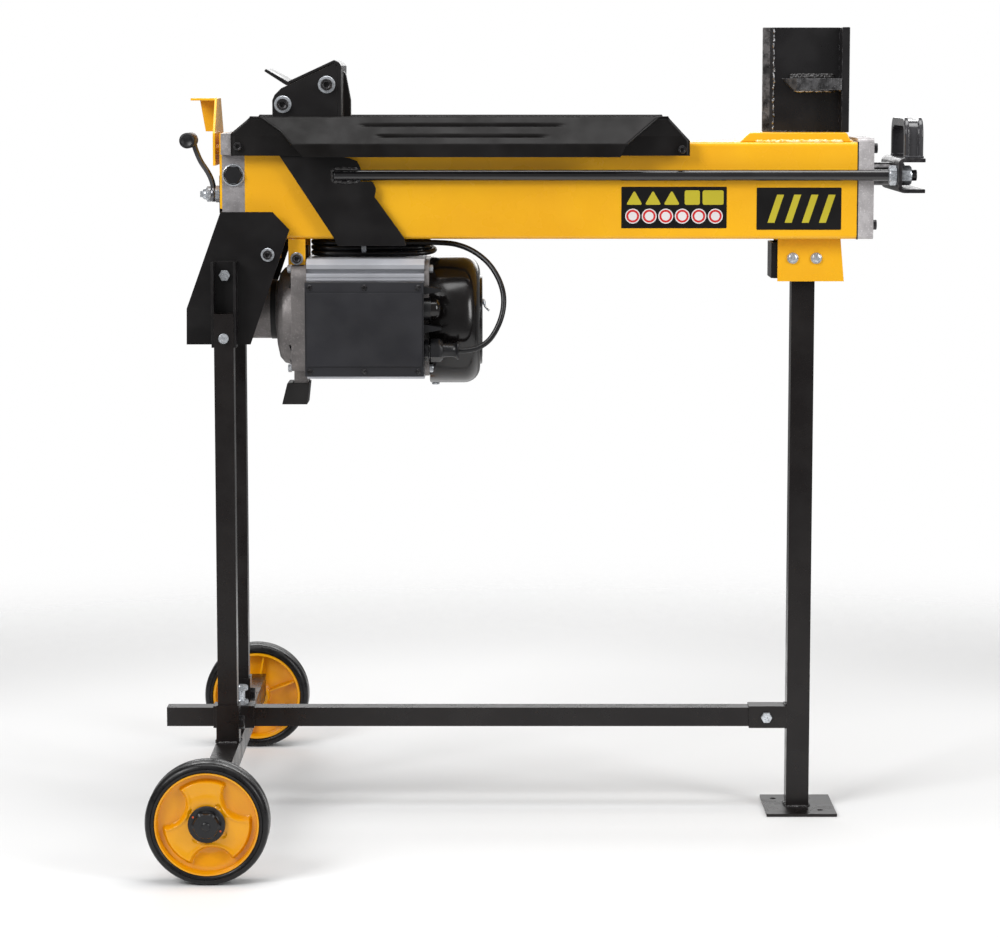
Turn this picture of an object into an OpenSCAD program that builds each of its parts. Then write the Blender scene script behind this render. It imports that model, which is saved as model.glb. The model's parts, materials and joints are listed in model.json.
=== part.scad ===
// Electric log splitter on a wheeled stand, in millimetres.
// +X runs from the pump end to the wedge end, +Z is up, z = 0 is the ground and
// the origin lies under the middle of the whole machine.

/* [Beam] */
// Length of the hollow beam
beam_l = 785; // [650:1:950]
// Width of the hollow beam
beam_w = 120; // [110:1:125]
// Height of the hollow beam
beam_h = 124; // [120:1:150]
// Wall of the hollow beam
beam_wall = 3; // [2:0.5:5]
// Outside corner radius of the hollow beam
beam_r = 5; // [4:0.5:8]
// Height of the log bed above the ground
bed_z = 882; // [740:1:1060]
// How far the middle of the beam lies in front of the origin
beam_shift = 15.5; // [-50:0.5:50]

/* [Hydraulics] */
// Bore of the cylinder
cylinder_bore = 66; // [50:1:68]
// Wall of the cylinder tube
cylinder_wall = 5; // [3:0.5:5]
// Diameter of the piston rod
rod_d = 30; // [20:1:36]
// Height of the cylinder axis above the middle of the beam
axis_rise = 20; // [14:1:20]
// Thickness of the pump head casting along the beam
head_t = 29; // [22:1:36]
// Height that the pump head stands above the log bed
head_rise = 11; // [5:1:16]
// Thickness of the end cap casting along the beam
cap_t = 21; // [16:1:30]
// Diameter of the four tie bolts inside the beam
tie_bolt_d = 8; // [6:1:10]
// Radius of the pump body
pump_r = 38; // [30:1:42]
// Length of the piston
piston_l = 25; // [20:1:35]

/* [Ram] */
// Working stroke of the ram
stroke = 390; // [320:1:400]
// Distance from the beam's pump end to the ram face at rest
ram_face = 125; // [110:1:150]
// Height of the ram face above the log bed
ram_h = 100; // [80:1:120]
// Thickness of the carriage side plates
carriage_t = 6; // [4:0.5:7]
// Gap between the beam's side and a carriage plate
carriage_gap = 7; // [5:0.5:8]
// Diameter of the two pull rods
pull_rod_d = 14; // [10:1:14]
// Overall width of the yoke that joins the rods
yoke_w = 186; // [170:1:220]
// Thickness of the yoke plate
yoke_t = 5; // [4:0.5:7]
// Height of the carry handle above the yoke
handle_h = 52; // [40:1:70]
// Width of the carry handle across the machine
handle_w = 146; // [120:1:170]

/* [Wedge] */
// Gap between the ram face at rest and the wedge edge
log_gap = 541; // [460:1:590]
// Height of the wedge above its base plate
wedge_h = 134; // [100:1:170]
// Thickness of the wedge blade
wedge_t = 16; // [12:1:24]
// Thickness of the wedge base plate
wedge_base_t = 12; // [8:1:16]
// How far each side wing of the wedge stands out
wedge_wing = 37; // [20:1:45]

/* [Log wings] */
// Length of the log wings along their lower edge
wing_l = 585; // [500:1:640]
// Height of a log wing's ridge above the log bed
wing_rise = 34; // [20:1:50]
// Sheet thickness of the log wings
wing_t = 2.5; // [1.5:0.5:4]

/* [Motor] */
// Width and height of the square motor housing
motor_w = 154; // [148:1:170]
// Length of the motor housing
motor_l = 151; // [130:1:185]
// Gap between the beam's underside and the motor housing
motor_gap = 25; // [24:1:40]
// Diameter of the fan cover
fan_cover_d = 165; // [150:1:180]
// Length of the fan cover
fan_cover_l = 68; // [60:1:90]
// Depth of the terminal box beside the motor
terminal_d = 37; // [34:1:50]
// Diameter of the motor shaft
shaft_d = 16; // [12:1:20]

/* [Controls] */
// Diameter of the lever's grip
grip_d = 20; // [15:1:26]
// Length of the lever's grip
grip_l = 52; // [40:1:70]
// Diameter of the switch button
button_d = 26; // [20:1:27]
// Travel of the switch button
button_travel = 4; // [2:0.5:6]

/* [Stand] */
// Size of the square tube of the wheeled legs and the tie rail
leg_tube = 25; // [20:1:30]
// Size of the square tube of the front leg and the axle
big_tube = 30; // [26:1:36]
// Wall of the square tubes
tube_wall = 2; // [1.5:0.5:3]
// Play between a tube and the sleeve around it
sleeve_play = 0.2; // [0.1:0.1:0.5]
// Gap between the tie rail's end and the front leg
rail_play = 1.5; // [0.5:0.5:5]
// Distance from the beam's pump end back to the axle's centre
axle_back = 25; // [10:1:40]
// How far the tie rail stands out behind the wheeled legs
rail_tail = 88.5; // [30:0.5:120]
// Height of the axle tube's underside above the ground
axle_z = 80; // [70:1:100]
// Length of the foot plate
foot_l = 92.5; // [70:0.5:120]
// Width of the foot plate
foot_w = 115; // [90:1:150]
// Thickness of the foot plate
foot_t = 4; // [3:0.5:6]
// Diameter of the holes in the foot plate
foot_hole_d = 8; // [6:0.5:10]

/* [Wheels] */
// Diameter of the wheels
wheel_d = 150; // [125:1:180]
// Width of the wheels
wheel_w = 40; // [32:1:48]
// Track between the wheels' middles
wheel_track = 798; // [660:1:960]
// Thickness of the tyre tread
tyre_t = 12; // [8:1:16]
// Diameter of the wheel bolts
wheel_bolt_d = 16; // [12:1:20]

/* [Cord] */
// Diameter of the mains cord
cord_d = 7; // [7:0.5:8]

/* [Hidden] */

$fn = 48;
// Radial clearance of a running fit
run = 0.05;
// Radial clearance of a bolt in its hole
bolt_play = 0.3;

// Beam
x0 = beam_shift - beam_l / 2;
x1 = beam_shift + beam_l / 2;
z0 = bed_z - beam_h;
side = beam_w / 2;
axis_z = z0 + beam_h / 2 + axis_rise;

// Carriage and wings, measured outwards from the middle plane
plate_in = side + carriage_gap;
plate_out = plate_in + carriage_t;
wing_y = plate_out + 2;
wing_x0 = x0 - 16;
wing_screw_x = wing_x0 + wing_l - 10;
ridge_y = wing_y + 7.7;
face_x = x0 + ram_face;
pull_y = plate_in + carriage_t / 2;
slot_h = pull_rod_d + 2;

// Yoke
yoke_x = x1 + cap_t + 27;
yoke_z0 = axis_z - 22;
yoke_z1 = axis_z + 22;
yoke_reach = 34.5;

// Wedge
edge_x = face_x + log_gap;
blade_l = 99;
blade_z = bed_z + wedge_base_t;

// Motor
motor_x0 = x0 + 79;
motor_x1 = motor_x0 + motor_l;
motor_z1 = z0 - motor_gap;
motor_z = motor_z1 - motor_w / 2;
stator_r = 62;
rotor_r = 35.5;
cover_x0 = motor_x1 + 6;
cover_z = motor_z1 - fan_cover_d / 2;
box_x1 = motor_x1;
box_z0 = motor_z - 70;
box_z1 = motor_z + 50;
box_y = motor_w / 2 + terminal_d;
outlet_y = motor_w / 2 + 20;
switch_z = motor_z + 15;
gland_z = motor_z - 38;
gear_teeth = 10;
gear_r = 12;
gear_axle = 5;
idler_z = motor_z + 2 * gear_r;

// Controls
guard_x = x0 - head_t - 8;
spool_y = -38;
spool_z = axis_z - 25;
grip_x = x0 - 72;
grip_z = bed_z + 2;

// Stand
axle_x = x0 - axle_back;
cover_y = plate_out + 3;
leg_y = cover_y + 6 + leg_tube / 2;
axle_top = axle_z + big_tube;
rail_z = axle_top + 2 + leg_tube / 2;
rail_x0 = axle_x - rail_tail;
sleeve_in = leg_tube + 2 * sleeve_play;
sleeve_out = sleeve_in + 2 * tube_wall;
leg_top = z0 - 93;
front_x = x1 - 64;
rail_l = front_x - big_tube / 2 - rail_play - rail_x0;
bracket_z = z0 - 56;
wheel_y = wheel_track / 2;
wheel_z = wheel_d / 2;
plate_t = 4;
rim_r = wheel_d / 2 - tyre_t;

// Cord: points along the middle of the cord, from the gland to the hank and
// from the hank to the plug
cord_route = [
    [-103, -97, 618], [-92, -97, 618], [-77, -97, 622], [-63, -96, 632], [-52, -93, 650],
    [-46, -88, 670], [-46, -80, 690], [-53, -68, 710], [-66, -56, 728], [-85, -44, 742],
    [-107, -34, 750], [-130, -29, 752], [-150, -28, 752], [-168, -28, 752]];
tail_route = [
    [-200, 28, 738], [-188, 28, 738], [-176.5, 30.3, 738], [-166.8, 36.8, 738],
    [-160.3, 46.5, 738], [-158, 58, 738], [-158, 70, 738], [-158, 81.5, 735.7],
    [-158, 91.2, 729.2], [-158, 97.7, 719.5], [-158, 100, 708], [-158, 100, 688],
    [-158, 100, 668]];
hank_mid = [-214, 0];
hank_run = 100;
hank_r = 32;
hank_z = [734, 756];

// ---------------------------------------------------------------- helpers

// A box from its lowest to its highest corner.
module box(low, high) {
    translate(low) cube([high[0] - low[0], high[1] - low[1], high[2] - low[2]]);
}

// The children and their mirror image across the middle plane.
module both() {
    children();
    mirror([0, 1, 0]) children();
}

// A cylinder along X from a to b.
module rod_x(r, a, b, y, z) {
    translate([a, y, z]) rotate([0, 90, 0]) cylinder(r = r, h = b - a);
}

// A cylinder along Y from a to b.
module rod_y(r, a, b, x, z) {
    translate([x, b, z]) rotate([90, 0, 0]) cylinder(r = r, h = b - a);
}

// A hexagonal bar along X, across its flats.
module hex_x(flats, a, b, y, z) {
    translate([a, y, z]) rotate([0, 90, 0])
        cylinder(r = flats / sqrt(3), h = b - a, $fn = 6);
}

// A hexagonal bar along Y, across its flats.
module hex_y(flats, a, b, x, z) {
    translate([x, b, z]) rotate([90, 0, 0])
        cylinder(r = flats / sqrt(3), h = b - a, $fn = 6);
}

// An outline in X and Z, extruded along Y from a to b.
module plate_y(points, a, b) {
    translate([0, b, 0]) rotate([90, 0, 0]) linear_extrude(b - a) polygon(points);
}

// 2-D children in Y and Z, extruded along X from a to b.
module along_x(a, b) {
    translate([a, 0, 0]) rotate([90, 0, 90]) linear_extrude(b - a) children();
}

// 2-D children in X and Z, extruded along Y from a to b.
module along_y(a, b) {
    translate([0, b, 0]) rotate([90, 0, 0]) linear_extrude(b - a) children();
}

// A rectangle with round corners.
module round_rect(w, h, r) {
    square([w - 2 * r, h], center = true);
    square([w, h - 2 * r], center = true);
    for (i = [-1, 1], j = [-1, 1]) translate([i * (w / 2 - r), j * (h / 2 - r)])
        circle(r = r);
}

// A square tube's section.
module tube_section(size, wall) {
    difference() {
        square(size, center = true);
        square(size - 2 * wall, center = true);
    }
}

// A washer along Y.
module washer_y(r, hole, a, b, x, z) {
    difference() {
        rod_y(r, a, b, x, z);
        rod_y(hole, a - 1, b + 1, x, z);
    }
}

// Unit vector from a to b.
function heading(a, b) = (b - a) / norm(b - a);

// Mitred offset of vertex i of a bent sheet's middle line.
function mitre(path, i, off) =
    let (
        last = len(path) - 1,
        before = heading(path[max(i - 1, 0)], path[max(i - 1, 0) + 1]),
        after = heading(path[min(i, last - 1)], path[min(i, last - 1) + 1]),
        n1 = [-before[1], before[0]],
        n2 = [-after[1], after[0]],
        mid = (n1 + n2) / norm(n1 + n2)
    ) path[i] + mid * off / (mid * n1);

// The outline of a bent sheet of thickness t around its middle line.
function sheet(path, t) = concat(
    [for (i = [0:len(path) - 1]) mitre(path, i, t / 2)],
    [for (i = [len(path) - 1:-1:0]) mitre(path, i, -t / 2)]);

// A point of a Catmull-Rom curve through four points.
function spline_at(a, b, c, d, t) =
    0.5 * (2 * b + (c - a) * t + (2 * a - 5 * b + 4 * c - d) * t * t
        + (3 * b - a - 3 * c + d) * t * t * t);

// A smooth curve through the points, with a number of steps for each stretch.
function smooth(p, steps) = concat(
    [for (i = [0:len(p) - 2], k = [0:steps - 1])
        spline_at(p[max(i - 1, 0)], p[i], p[i + 1], p[min(i + 2, len(p) - 1)], k / steps)],
    [p[len(p) - 1]]);

// The ring of points around point i of a path. The rings keep one side turned
// the same way because every heading is compared with the fixed vector up.
function ring(path, i, r, sides, up) =
    let (
        t = heading(path[max(i - 1, 0)], path[min(i + 1, len(path) - 1)]),
        u = cross(t, up) / norm(cross(t, up)),
        v = cross(u, t)
    ) [for (k = [0:sides - 1])
        path[i] + r * (cos(360 * k / sides) * u + sin(360 * k / sides) * v)];

// A closed tube along a path.
module sweep(path, r, sides, up) {
    rings = [for (i = [0:len(path) - 1]) each ring(path, i, r, sides, up)];
    last = (len(path) - 1) * sides;
    polyhedron(points = rings, faces = concat(
        [[for (k = [sides - 1:-1:0]) k]],
        [for (i = [0:len(path) - 2], k = [0:sides - 1], half = [0, 1])
            let (a = i * sides + k, b = i * sides + (k + 1) % sides)
            half == 0 ? [a, b, b + sides] : [a, b + sides, a + sides]],
        [[for (k = [0:sides - 1]) last + k]]));
}

// ---------------------------------------------------------------- beam

module beam() color("gold") difference() {
    along_x(x0, x1) translate([0, z0 + beam_h / 2]) difference() {
        round_rect(beam_w, beam_h, beam_r);
        round_rect(beam_w - 2 * beam_wall, beam_h - 2 * beam_wall,
            beam_r - beam_wall + 0.5);
    }
    both() rod_y(3 + run, -side - 1, -side + beam_wall + 1, wing_screw_x, bed_z - 9);
}

// ---------------------------------------------------------------- wedge

module wedge_base() color("gold")
    plate_y([[edge_x - 32, bed_z], [edge_x - 19, blade_z],
        [edge_x + blade_l + 6, blade_z], [edge_x + blade_l + 12, bed_z]],
        -side + 5, side - 5);

module wedge_blade() color("dimgray") {
    translate([0, 0, blade_z]) linear_extrude(wedge_h)
        polygon([[edge_x, 0], [edge_x + 14, -wedge_t / 2],
            [edge_x + blade_l, -wedge_t / 2], [edge_x + blade_l, wedge_t / 2],
            [edge_x + 14, wedge_t / 2]]);
    translate([edge_x + blade_l, 0, blade_z]) linear_extrude(wedge_h)
        translate([0, -42]) square([10, 84]);
}

module wedge_side_wings() color("dimgray") both()
    difference() {
        plate_y([[edge_x + 24, blade_z + 69], [edge_x + 38, blade_z + 54],
            [edge_x + blade_l, blade_z + 54], [edge_x + blade_l, blade_z + 69]],
            -wedge_t / 2 - wedge_wing, -wedge_t / 2);
        translate([edge_x + 24, -wedge_t / 2, 0]) rotate([0, 0, -65])
            translate([0, -90, blade_z + 50]) cube([90, 90, 25]);
    }

// ---------------------------------------------------------------- hydraulics

tie_places = [[50, z0 + beam_h - beam_wall - 1 - tie_bolt_d / 2],
    [-50, z0 + beam_h - beam_wall - 1 - tie_bolt_d / 2], [50, z0 + 18], [-50, z0 + 18]];
seal_r = rod_d / 2 + 5;

module end_cap() color("lightgray") difference() {
    along_x(x1, x1 + cap_t) translate([0, z0 + beam_h / 2 + 2.5])
        round_rect(beam_w, beam_h + 5, beam_r);
    rod_x(rod_d / 2 + 0.4, x1 - 1, x1 + cap_t + 1, 0, axis_z);
    rod_x(seal_r, x1 + cap_t - 12, x1 + cap_t + 1, 0, axis_z);
    for (p = tie_places) rod_x(tie_bolt_d / 2 + bolt_play, x1 - 1, x1 + cap_t + 1, p[0], p[1]);
}

module rod_seal() color("black") difference() {
    rod_x(seal_r, x1 + cap_t - 12, x1 + cap_t - 2, 0, axis_z);
    rod_x(rod_d / 2 + run, x1 + cap_t - 13, x1 + cap_t, 0, axis_z);
}

module tie_bolts() color("dimgray") for (p = tie_places) {
    rod_x(tie_bolt_d / 2, x0 - 15, x1 + cap_t, p[0], p[1]);
    rod_x(tie_bolt_d * 0.8, x1 + cap_t, x1 + cap_t + 5, p[0], p[1]);
}

module pump_head() color("lightgray") difference() {
    union() {
        along_x(x0 - head_t, x0) translate([0, z0 + (beam_h + head_rise) / 2])
            round_rect(beam_w, beam_h + head_rise, beam_r);
        box([x0 - head_t, -wing_y, bed_z - 16], [x0, wing_y, bed_z + head_rise]);
        box([x0 - head_t, -45, motor_z - 34], [x0, 45, z0 + beam_r]);
    }
    rod_x(6 + run, x0 - head_t - 1, x0 - head_t + 22, spool_y, spool_z);
    rod_y(9 + run, -side - 1, -side + 14, x0 - head_t / 2, axis_z);
    for (p = tie_places) rod_x(tie_bolt_d / 2 + run, x0 - 15, x0 + 1, p[0], p[1]);
    both() rod_y(3 + run, -wing_y - 1, -wing_y + 14, x0 - 7, bed_z - 5);
}

module oil_plug() color("black") {
    rod_y(9, -side - 2, -side + 14, x0 - head_t / 2, axis_z);
    washer_y(14.5, 9, -side - 2, -side, x0 - head_t / 2, axis_z);
    hex_y(22, -side - 9, -side - 2, x0 - head_t / 2, axis_z);
}

module cylinder_tube() color("silver") difference() {
    rod_x(cylinder_bore / 2 + cylinder_wall, x0, x1, 0, axis_z);
    rod_x(cylinder_bore / 2, x0 - 1, x1 + 1, 0, axis_z);
}

piston_x = x0 + 12;

module piston() color("silver") difference() {
    rod_x(cylinder_bore / 2 - run, piston_x, piston_x + piston_l, 0, axis_z);
    rod_x(rod_d / 2 - 4, piston_x - 1, piston_x + piston_l + 1, 0, axis_z);
}

module piston_rod() color("silver") {
    rod_x(rod_d / 2 - 4, piston_x, piston_x + piston_l, 0, axis_z);
    rod_x(rod_d / 2, piston_x + piston_l, yoke_x, 0, axis_z);
    rod_x(9, yoke_x, yoke_x + yoke_t + 16, 0, axis_z);
}

// Return spring between the piston and the end cap.
spring_turns = 15;
spring_a = piston_x + piston_l + 4;
spring_b = x1 - 4;
spring_steps = 10;
spring_r = cylinder_bore / 2 - 7;
spring_path = [for (i = [0:spring_turns * spring_steps])
    let (turn = 360 * i / spring_steps)
    [spring_a + (spring_b - spring_a) * i / (spring_turns * spring_steps),
     spring_r * cos(turn), axis_z + spring_r * sin(turn)]];

module return_spring() color("gray") sweep(spring_path, 2.5, 6, [1, 0, 0]);

// ---------------------------------------------------------------- log wings

wing_path = [[wing_y + wing_t / 2, bed_z - 17], [wing_y + wing_t / 2, bed_z + 8],
    [ridge_y, bed_z + wing_rise], [ridge_y + 28, bed_z - 2], [ridge_y + 28, bed_z - 18]];
inner_outline = [[wing_x0, bed_z - 40], [wing_x0, bed_z + 11],
    [wing_x0 + 34, bed_z + wing_rise + 5], [wing_x0 + wing_l - 35, bed_z + wing_rise + 5],
    [wing_x0 + wing_l, bed_z + 2], [wing_x0 + wing_l, bed_z - 40]];
outer_outline = [[wing_x0 + 27, bed_z + wing_rise + 5], [wing_x0 + 64, bed_z + 14],
    [wing_x0 + 94, bed_z - 18], [wing_x0 + 98, bed_z - 25],
    [wing_x0 + wing_l - 93, bed_z - 25], [wing_x0 + wing_l - 83, bed_z - 4],
    [wing_x0 + wing_l - 30, bed_z + wing_rise + 5]];

module log_wings() color("black") both() mirror([0, 1, 0]) difference() {
    intersection() {
        along_x(wing_x0 - 1, wing_x0 + wing_l + 1) polygon(sheet(wing_path, wing_t));
        union() {
            plate_y(inner_outline, wing_y - 2, ridge_y);
            plate_y(outer_outline, ridge_y, ridge_y + 40);
        }
    }
    rod_y(3 + bolt_play, wing_y - 1, wing_y + wing_t + 1, x0 - 7, bed_z - 5);
    rod_y(3 + bolt_play, wing_y - 1, wing_y + wing_t + 1, wing_screw_x, bed_z - 9);
    rod_x(2.6, wing_x0 + 169, wing_x0 + wing_l - 164, ridge_y + 8.8, bed_z + 26);
    rod_x(2.6, wing_x0 + 190, wing_x0 + wing_l - 184, ridge_y + 19.2, bed_z + 12.6);
}

// Socket head screws of the wings and of the leg cover, with their bushes.
module cover_screws() color("silver") both() {
    rod_y(3, -wing_y - wing_t, -wing_y + 13, x0 - 7, bed_z - 5);
    rod_y(5.5, -wing_y - wing_t - 5, -wing_y - wing_t, x0 - 7, bed_z - 5);
    rod_y(3, -wing_y - wing_t, -side + beam_wall + 1, wing_screw_x, bed_z - 9);
    rod_y(5.5, -wing_y - wing_t - 5, -wing_y - wing_t, wing_screw_x, bed_z - 9);
    washer_y(8, 3 + run, -wing_y, -side, wing_screw_x, bed_z - 9);
    rod_y(4, -cover_y - 3, -cover_y + 8, x0 + 30, z0 - 19);
    rod_y(8.5, -cover_y - 5, -cover_y - 3, x0 + 30, z0 - 19);
    rod_y(6, -cover_y - 10, -cover_y - 5, x0 + 30, z0 - 19);
}

// ---------------------------------------------------------------- brackets

module beam_brackets() color("gold") {
    // Cross bracket that carries the leg cover
    box([x0 + 5, -cover_y, z0 - 3], [x0 + 37, cover_y, z0]);
    both() difference() {
        box([x0 + 5, -cover_y, z0 - 32], [x0 + 37, -cover_y + 3, z0]);
        rod_y(4 + bolt_play, -cover_y - 1, -cover_y + 4, x0 + 30, z0 - 19);
    }
    // Tabs that carry the motor flange
    both() difference() {
        box([motor_x0 - 24, -side + 0.5, z0 - 33], [motor_x0 - 2, -side + 3.5, z0]);
        rod_y(4 + bolt_play, -side, -side + 4, motor_x0 - 13, z0 - 25);
    }
    // Channel that takes the front leg's head
    box([front_x - 35, -32.5, z0 - 3], [front_x + 46, 32.5, z0]);
    both() difference() {
        plate_y([[front_x - 35, z0], [front_x - 35, bracket_z],
            [front_x + 51, bracket_z], [front_x + 46, z0]], -32.5, -29.5);
        for (x = [-15.5, 15]) rod_y(4 + bolt_play, -33, -29, front_x + x, z0 - 26);
    }
}

// ---------------------------------------------------------------- stand

cover_side = [[axle_x - 5, z0 + 35.5], [x0 + 36.5, z0 + 35.5], [x0 + 58, z0 + 13],
    [x0 + 7, z0 - 134], [axle_x - 50, z0 - 134], [axle_x - 49.5, z0 - 88]];

// Bent cover around the pump end, with the leg channels welded to its sides.
module leg_cover() color("black") {
    both() difference() {
        union() {
            plate_y(cover_side, -cover_y - 3, -cover_y);
            leg_channel();
        }
        rod_y(4 + bolt_play, -cover_y - 4, -cover_y + 1, x0 + 30, z0 - 19);
        rod_y(4 + bolt_play, -cover_y - 7, -cover_y + 1, axle_x, z0 - 45);
        rod_y(4 + bolt_play, -cover_y - 7, -cover_y + 1, axle_x, z0 - 124);
    }
    plate_y([[axle_x - 50, z0 - 134], [axle_x - 49.5, z0 - 88], [axle_x - 18, z0 - 0.5],
        [axle_x - 15, z0 - 0.5], [axle_x - 46.5, z0 - 88.5], [axle_x - 47, z0 - 134]],
        -cover_y, cover_y);
}

// Upright channel, open outwards, that a rear leg fits into.
module leg_channel() {
    half = leg_tube / 2 + sleeve_play + 3;
    translate([axle_x, -cover_y - 3, z0 - 136]) linear_extrude(109)
        polygon([[-half, 0], [half, 0], [half, -leg_tube - 2], [half - 3, -leg_tube - 2],
            [half - 3, -3], [-half + 3, -3], [-half + 3, -leg_tube - 2],
            [-half, -leg_tube - 2]]);
}

module rear_legs() color("black") both() difference() {
    translate([axle_x, -leg_y, axle_top]) linear_extrude(leg_top - axle_top)
        tube_section(leg_tube, tube_wall);
    rod_y(4 + bolt_play, -leg_y - 20, -leg_y + 20, axle_x, z0 - 124);
}

axle_half = wheel_y - 33;

module axle_tube() color("black") {
    difference() {
        along_y(-axle_half, axle_half) translate([axle_x, axle_z + big_tube / 2])
            tube_section(big_tube, tube_wall);
        translate([axle_x, 0, axle_top - tube_wall - 1])
            cylinder(r = 4 + bolt_play, h = tube_wall + 2);
    }
    // Leg sleeves
    both() difference() {
        translate([axle_x, -leg_y, axle_top]) linear_extrude(49)
            tube_section(sleeve_out, tube_wall);
        rod_x(4 + bolt_play, axle_x, axle_x + 30, -leg_y, axle_top + 24);
    }
    // Rail sleeve
    difference() {
        along_x(axle_x - 27, axle_x + 27) translate([0, axle_top + sleeve_out / 2])
            tube_section(sleeve_out, tube_wall);
        translate([axle_x, 0, axle_top - 1]) cylinder(r = 4 + bolt_play, h = sleeve_out + 2);
    }
    // Drop plates that carry the wheel bolts
    both() difference() {
        union() {
            plate_y([[axle_x - big_tube / 2, axle_top], [axle_x - 13, wheel_z],
                [axle_x + 13, wheel_z], [axle_x + big_tube / 2, axle_top]],
                -axle_half - plate_t, -axle_half);
            rod_y(13, -axle_half - plate_t, -axle_half, axle_x, wheel_z);
        }
        rod_y(wheel_bolt_d / 2 + run, -axle_half - plate_t - 1, -axle_half + 1,
            axle_x, wheel_z);
    }
}

module tie_rail() color("black") difference() {
    along_x(rail_x0, rail_x0 + rail_l) translate([0, rail_z])
        tube_section(leg_tube, tube_wall);
    translate([axle_x, 0, rail_z - leg_tube]) cylinder(r = 4 + bolt_play, h = 2 * leg_tube);
    rod_y(4 + bolt_play, -leg_tube, leg_tube, front_x - 42, rail_z);
}

module front_leg() color("black") {
    translate([front_x, 0, foot_t]) linear_extrude(bracket_z + 4 - foot_t)
        tube_section(big_tube, tube_wall);
    difference() {
        along_x(front_x - big_tube / 2 - 50, front_x - big_tube / 2)
            translate([0, rail_z]) tube_section(sleeve_out, tube_wall);
        rod_y(4 + bolt_play, -leg_tube, leg_tube, front_x - 42, rail_z);
    }
    // Head channel inside the beam's bracket
    box([front_x - 43, -29.5, bracket_z + 4], [front_x + 36, 29.5, bracket_z + 7]);
    box([front_x - 43, -26.5, bracket_z + 7], [front_x - 40, 26.5, z0 - 6]);
    both() difference() {
        box([front_x - 43, -29.5, bracket_z + 7], [front_x + 36, -26.5, z0 - 6]);
        for (x = [-15.5, 15]) rod_y(4 + bolt_play, -30, -26, front_x + x, z0 - 26);
    }
}

foot_holes = [[front_x + 29, -34], [front_x - 28, 34]];

module foot_plate() color("black") difference() {
    box([front_x + 2.5 - foot_l / 2, -foot_w / 2, 0],
        [front_x + 2.5 + foot_l / 2, foot_w / 2, foot_t]);
    for (p = foot_holes) translate([p[0], p[1], -1]) cylinder(d = foot_hole_d, h = foot_t + 2);
}

// Hex bolts, pins and dome head bolts of the stand.
module stand_bolts() color("silver") {
    both() {
        // Upper leg bolts
        rod_y(4, -cover_y - 6, -cover_y + 4, axle_x, z0 - 45);
        hex_y(13, -cover_y - 12, -cover_y - 6, axle_x, z0 - 45);
        hex_y(13, -cover_y, -cover_y + 6.5, axle_x, z0 - 45);
        // Leg pins
        rod_y(4, -leg_y - leg_tube / 2, -cover_y - 3, axle_x, z0 - 124);
        rod_y(6.5, -leg_y - leg_tube / 2 - 4, -leg_y - leg_tube / 2, axle_x, z0 - 124);
        // Sleeve clamp bolts
        rod_x(4, axle_x + leg_tube / 2 + 0.05, axle_x + sleeve_out / 2 + 6, -leg_y, axle_top + 24);
        hex_x(16, axle_x + sleeve_out / 2, axle_x + sleeve_out / 2 + 6, -leg_y, axle_top + 24);
        // Dome head bolts of the front leg
        for (x = [-15.5, 15]) {
            rod_y(4, -32.5, -22, front_x + x, z0 - 26);
            rod_y(7, -35.5, -32.5, front_x + x, z0 - 26);
            hex_y(13, -26.5, -20, front_x + x, z0 - 26);
        }
    }
    // Rail bolts
    translate([axle_x, 0, axle_top - tube_wall]) cylinder(r = 4, h = sleeve_out + tube_wall + 8);
    translate([axle_x, 0, axle_top + sleeve_out]) cylinder(r = 13 / sqrt(3), h = 14, $fn = 6);
    rod_y(4, -sleeve_out / 2 - 6, sleeve_out / 2 + 6, front_x - 42, rail_z);
    hex_y(13, -sleeve_out / 2 - 6, -sleeve_out / 2, front_x - 42, rail_z);
    hex_y(13, sleeve_out / 2, sleeve_out / 2 + 6, front_x - 42, rail_z);
}

module wheel_bolts() color("dimgray") both() {
    rod_y(wheel_bolt_d / 2, -wheel_y - 18, -axle_half, axle_x, wheel_z);
    rod_y(22.5, -wheel_y - 18.5, -wheel_y - 15.3, axle_x, wheel_z);
    hex_y(31, -wheel_y - 28, -wheel_y - 18.5, axle_x, wheel_z);
    rod_y(5, -wheel_y - 30, -wheel_y - 28, axle_x, wheel_z);
}

// A wheel's own frame: its axis along Z, its outer face towards s.
module at_wheel(s) {
    translate([axle_x, s * wheel_y, wheel_z]) rotate([-90 * s, 0, 0]) children();
}

// Moulded rim with a web, three raised lobes and a hub.
module rim(s) color("gold") at_wheel(s) difference() {
    half = wheel_w / 2;
    union() {
        rotate_extrude() polygon([[0, -4], [rim_r - 4, -4], [rim_r - 4, -half + 2],
            [rim_r, -half + 2], [rim_r, half - 2], [rim_r - 4, half - 2],
            [rim_r - 4, 4], [0, 4]]);
        translate([0, 0, -27]) cylinder(r = 18, h = 42);
        for (k = [0:2]) rotate([0, 0, 120 * k + 30]) translate([10, -17, 4])
            cube([rim_r - 16, 34, 8]);
    }
    translate([0, 0, -50]) cylinder(r = wheel_bolt_d / 2 + run, h = 100);
}

// Rubber tyre with bevelled shoulders.
module tyre(s) color("black") at_wheel(s) {
    half = wheel_w / 2;
    rotate_extrude() polygon([[rim_r, -half + 3], [rim_r + 4, -half],
        [rim_r + tyre_t - 5, -half], [rim_r + tyre_t - 1.5, -half + 2],
        [rim_r + tyre_t, -half + 7], [rim_r + tyre_t, half - 7],
        [rim_r + tyre_t - 1.5, half - 2], [rim_r + tyre_t - 5, half],
        [rim_r + 4, half], [rim_r, half - 3]]);
}

module rim_near() rim(-1);
module rim_far() rim(1);
module tyre_near() tyre(-1);
module tyre_far() tyre(1);

// ---------------------------------------------------------------- motor

// A profile turned around the motor's axis, as radius and place along X.
module turned(points, z) {
    translate([0, 0, z]) rotate([0, 90, 0]) rotate_extrude() polygon(points);
}

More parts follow.
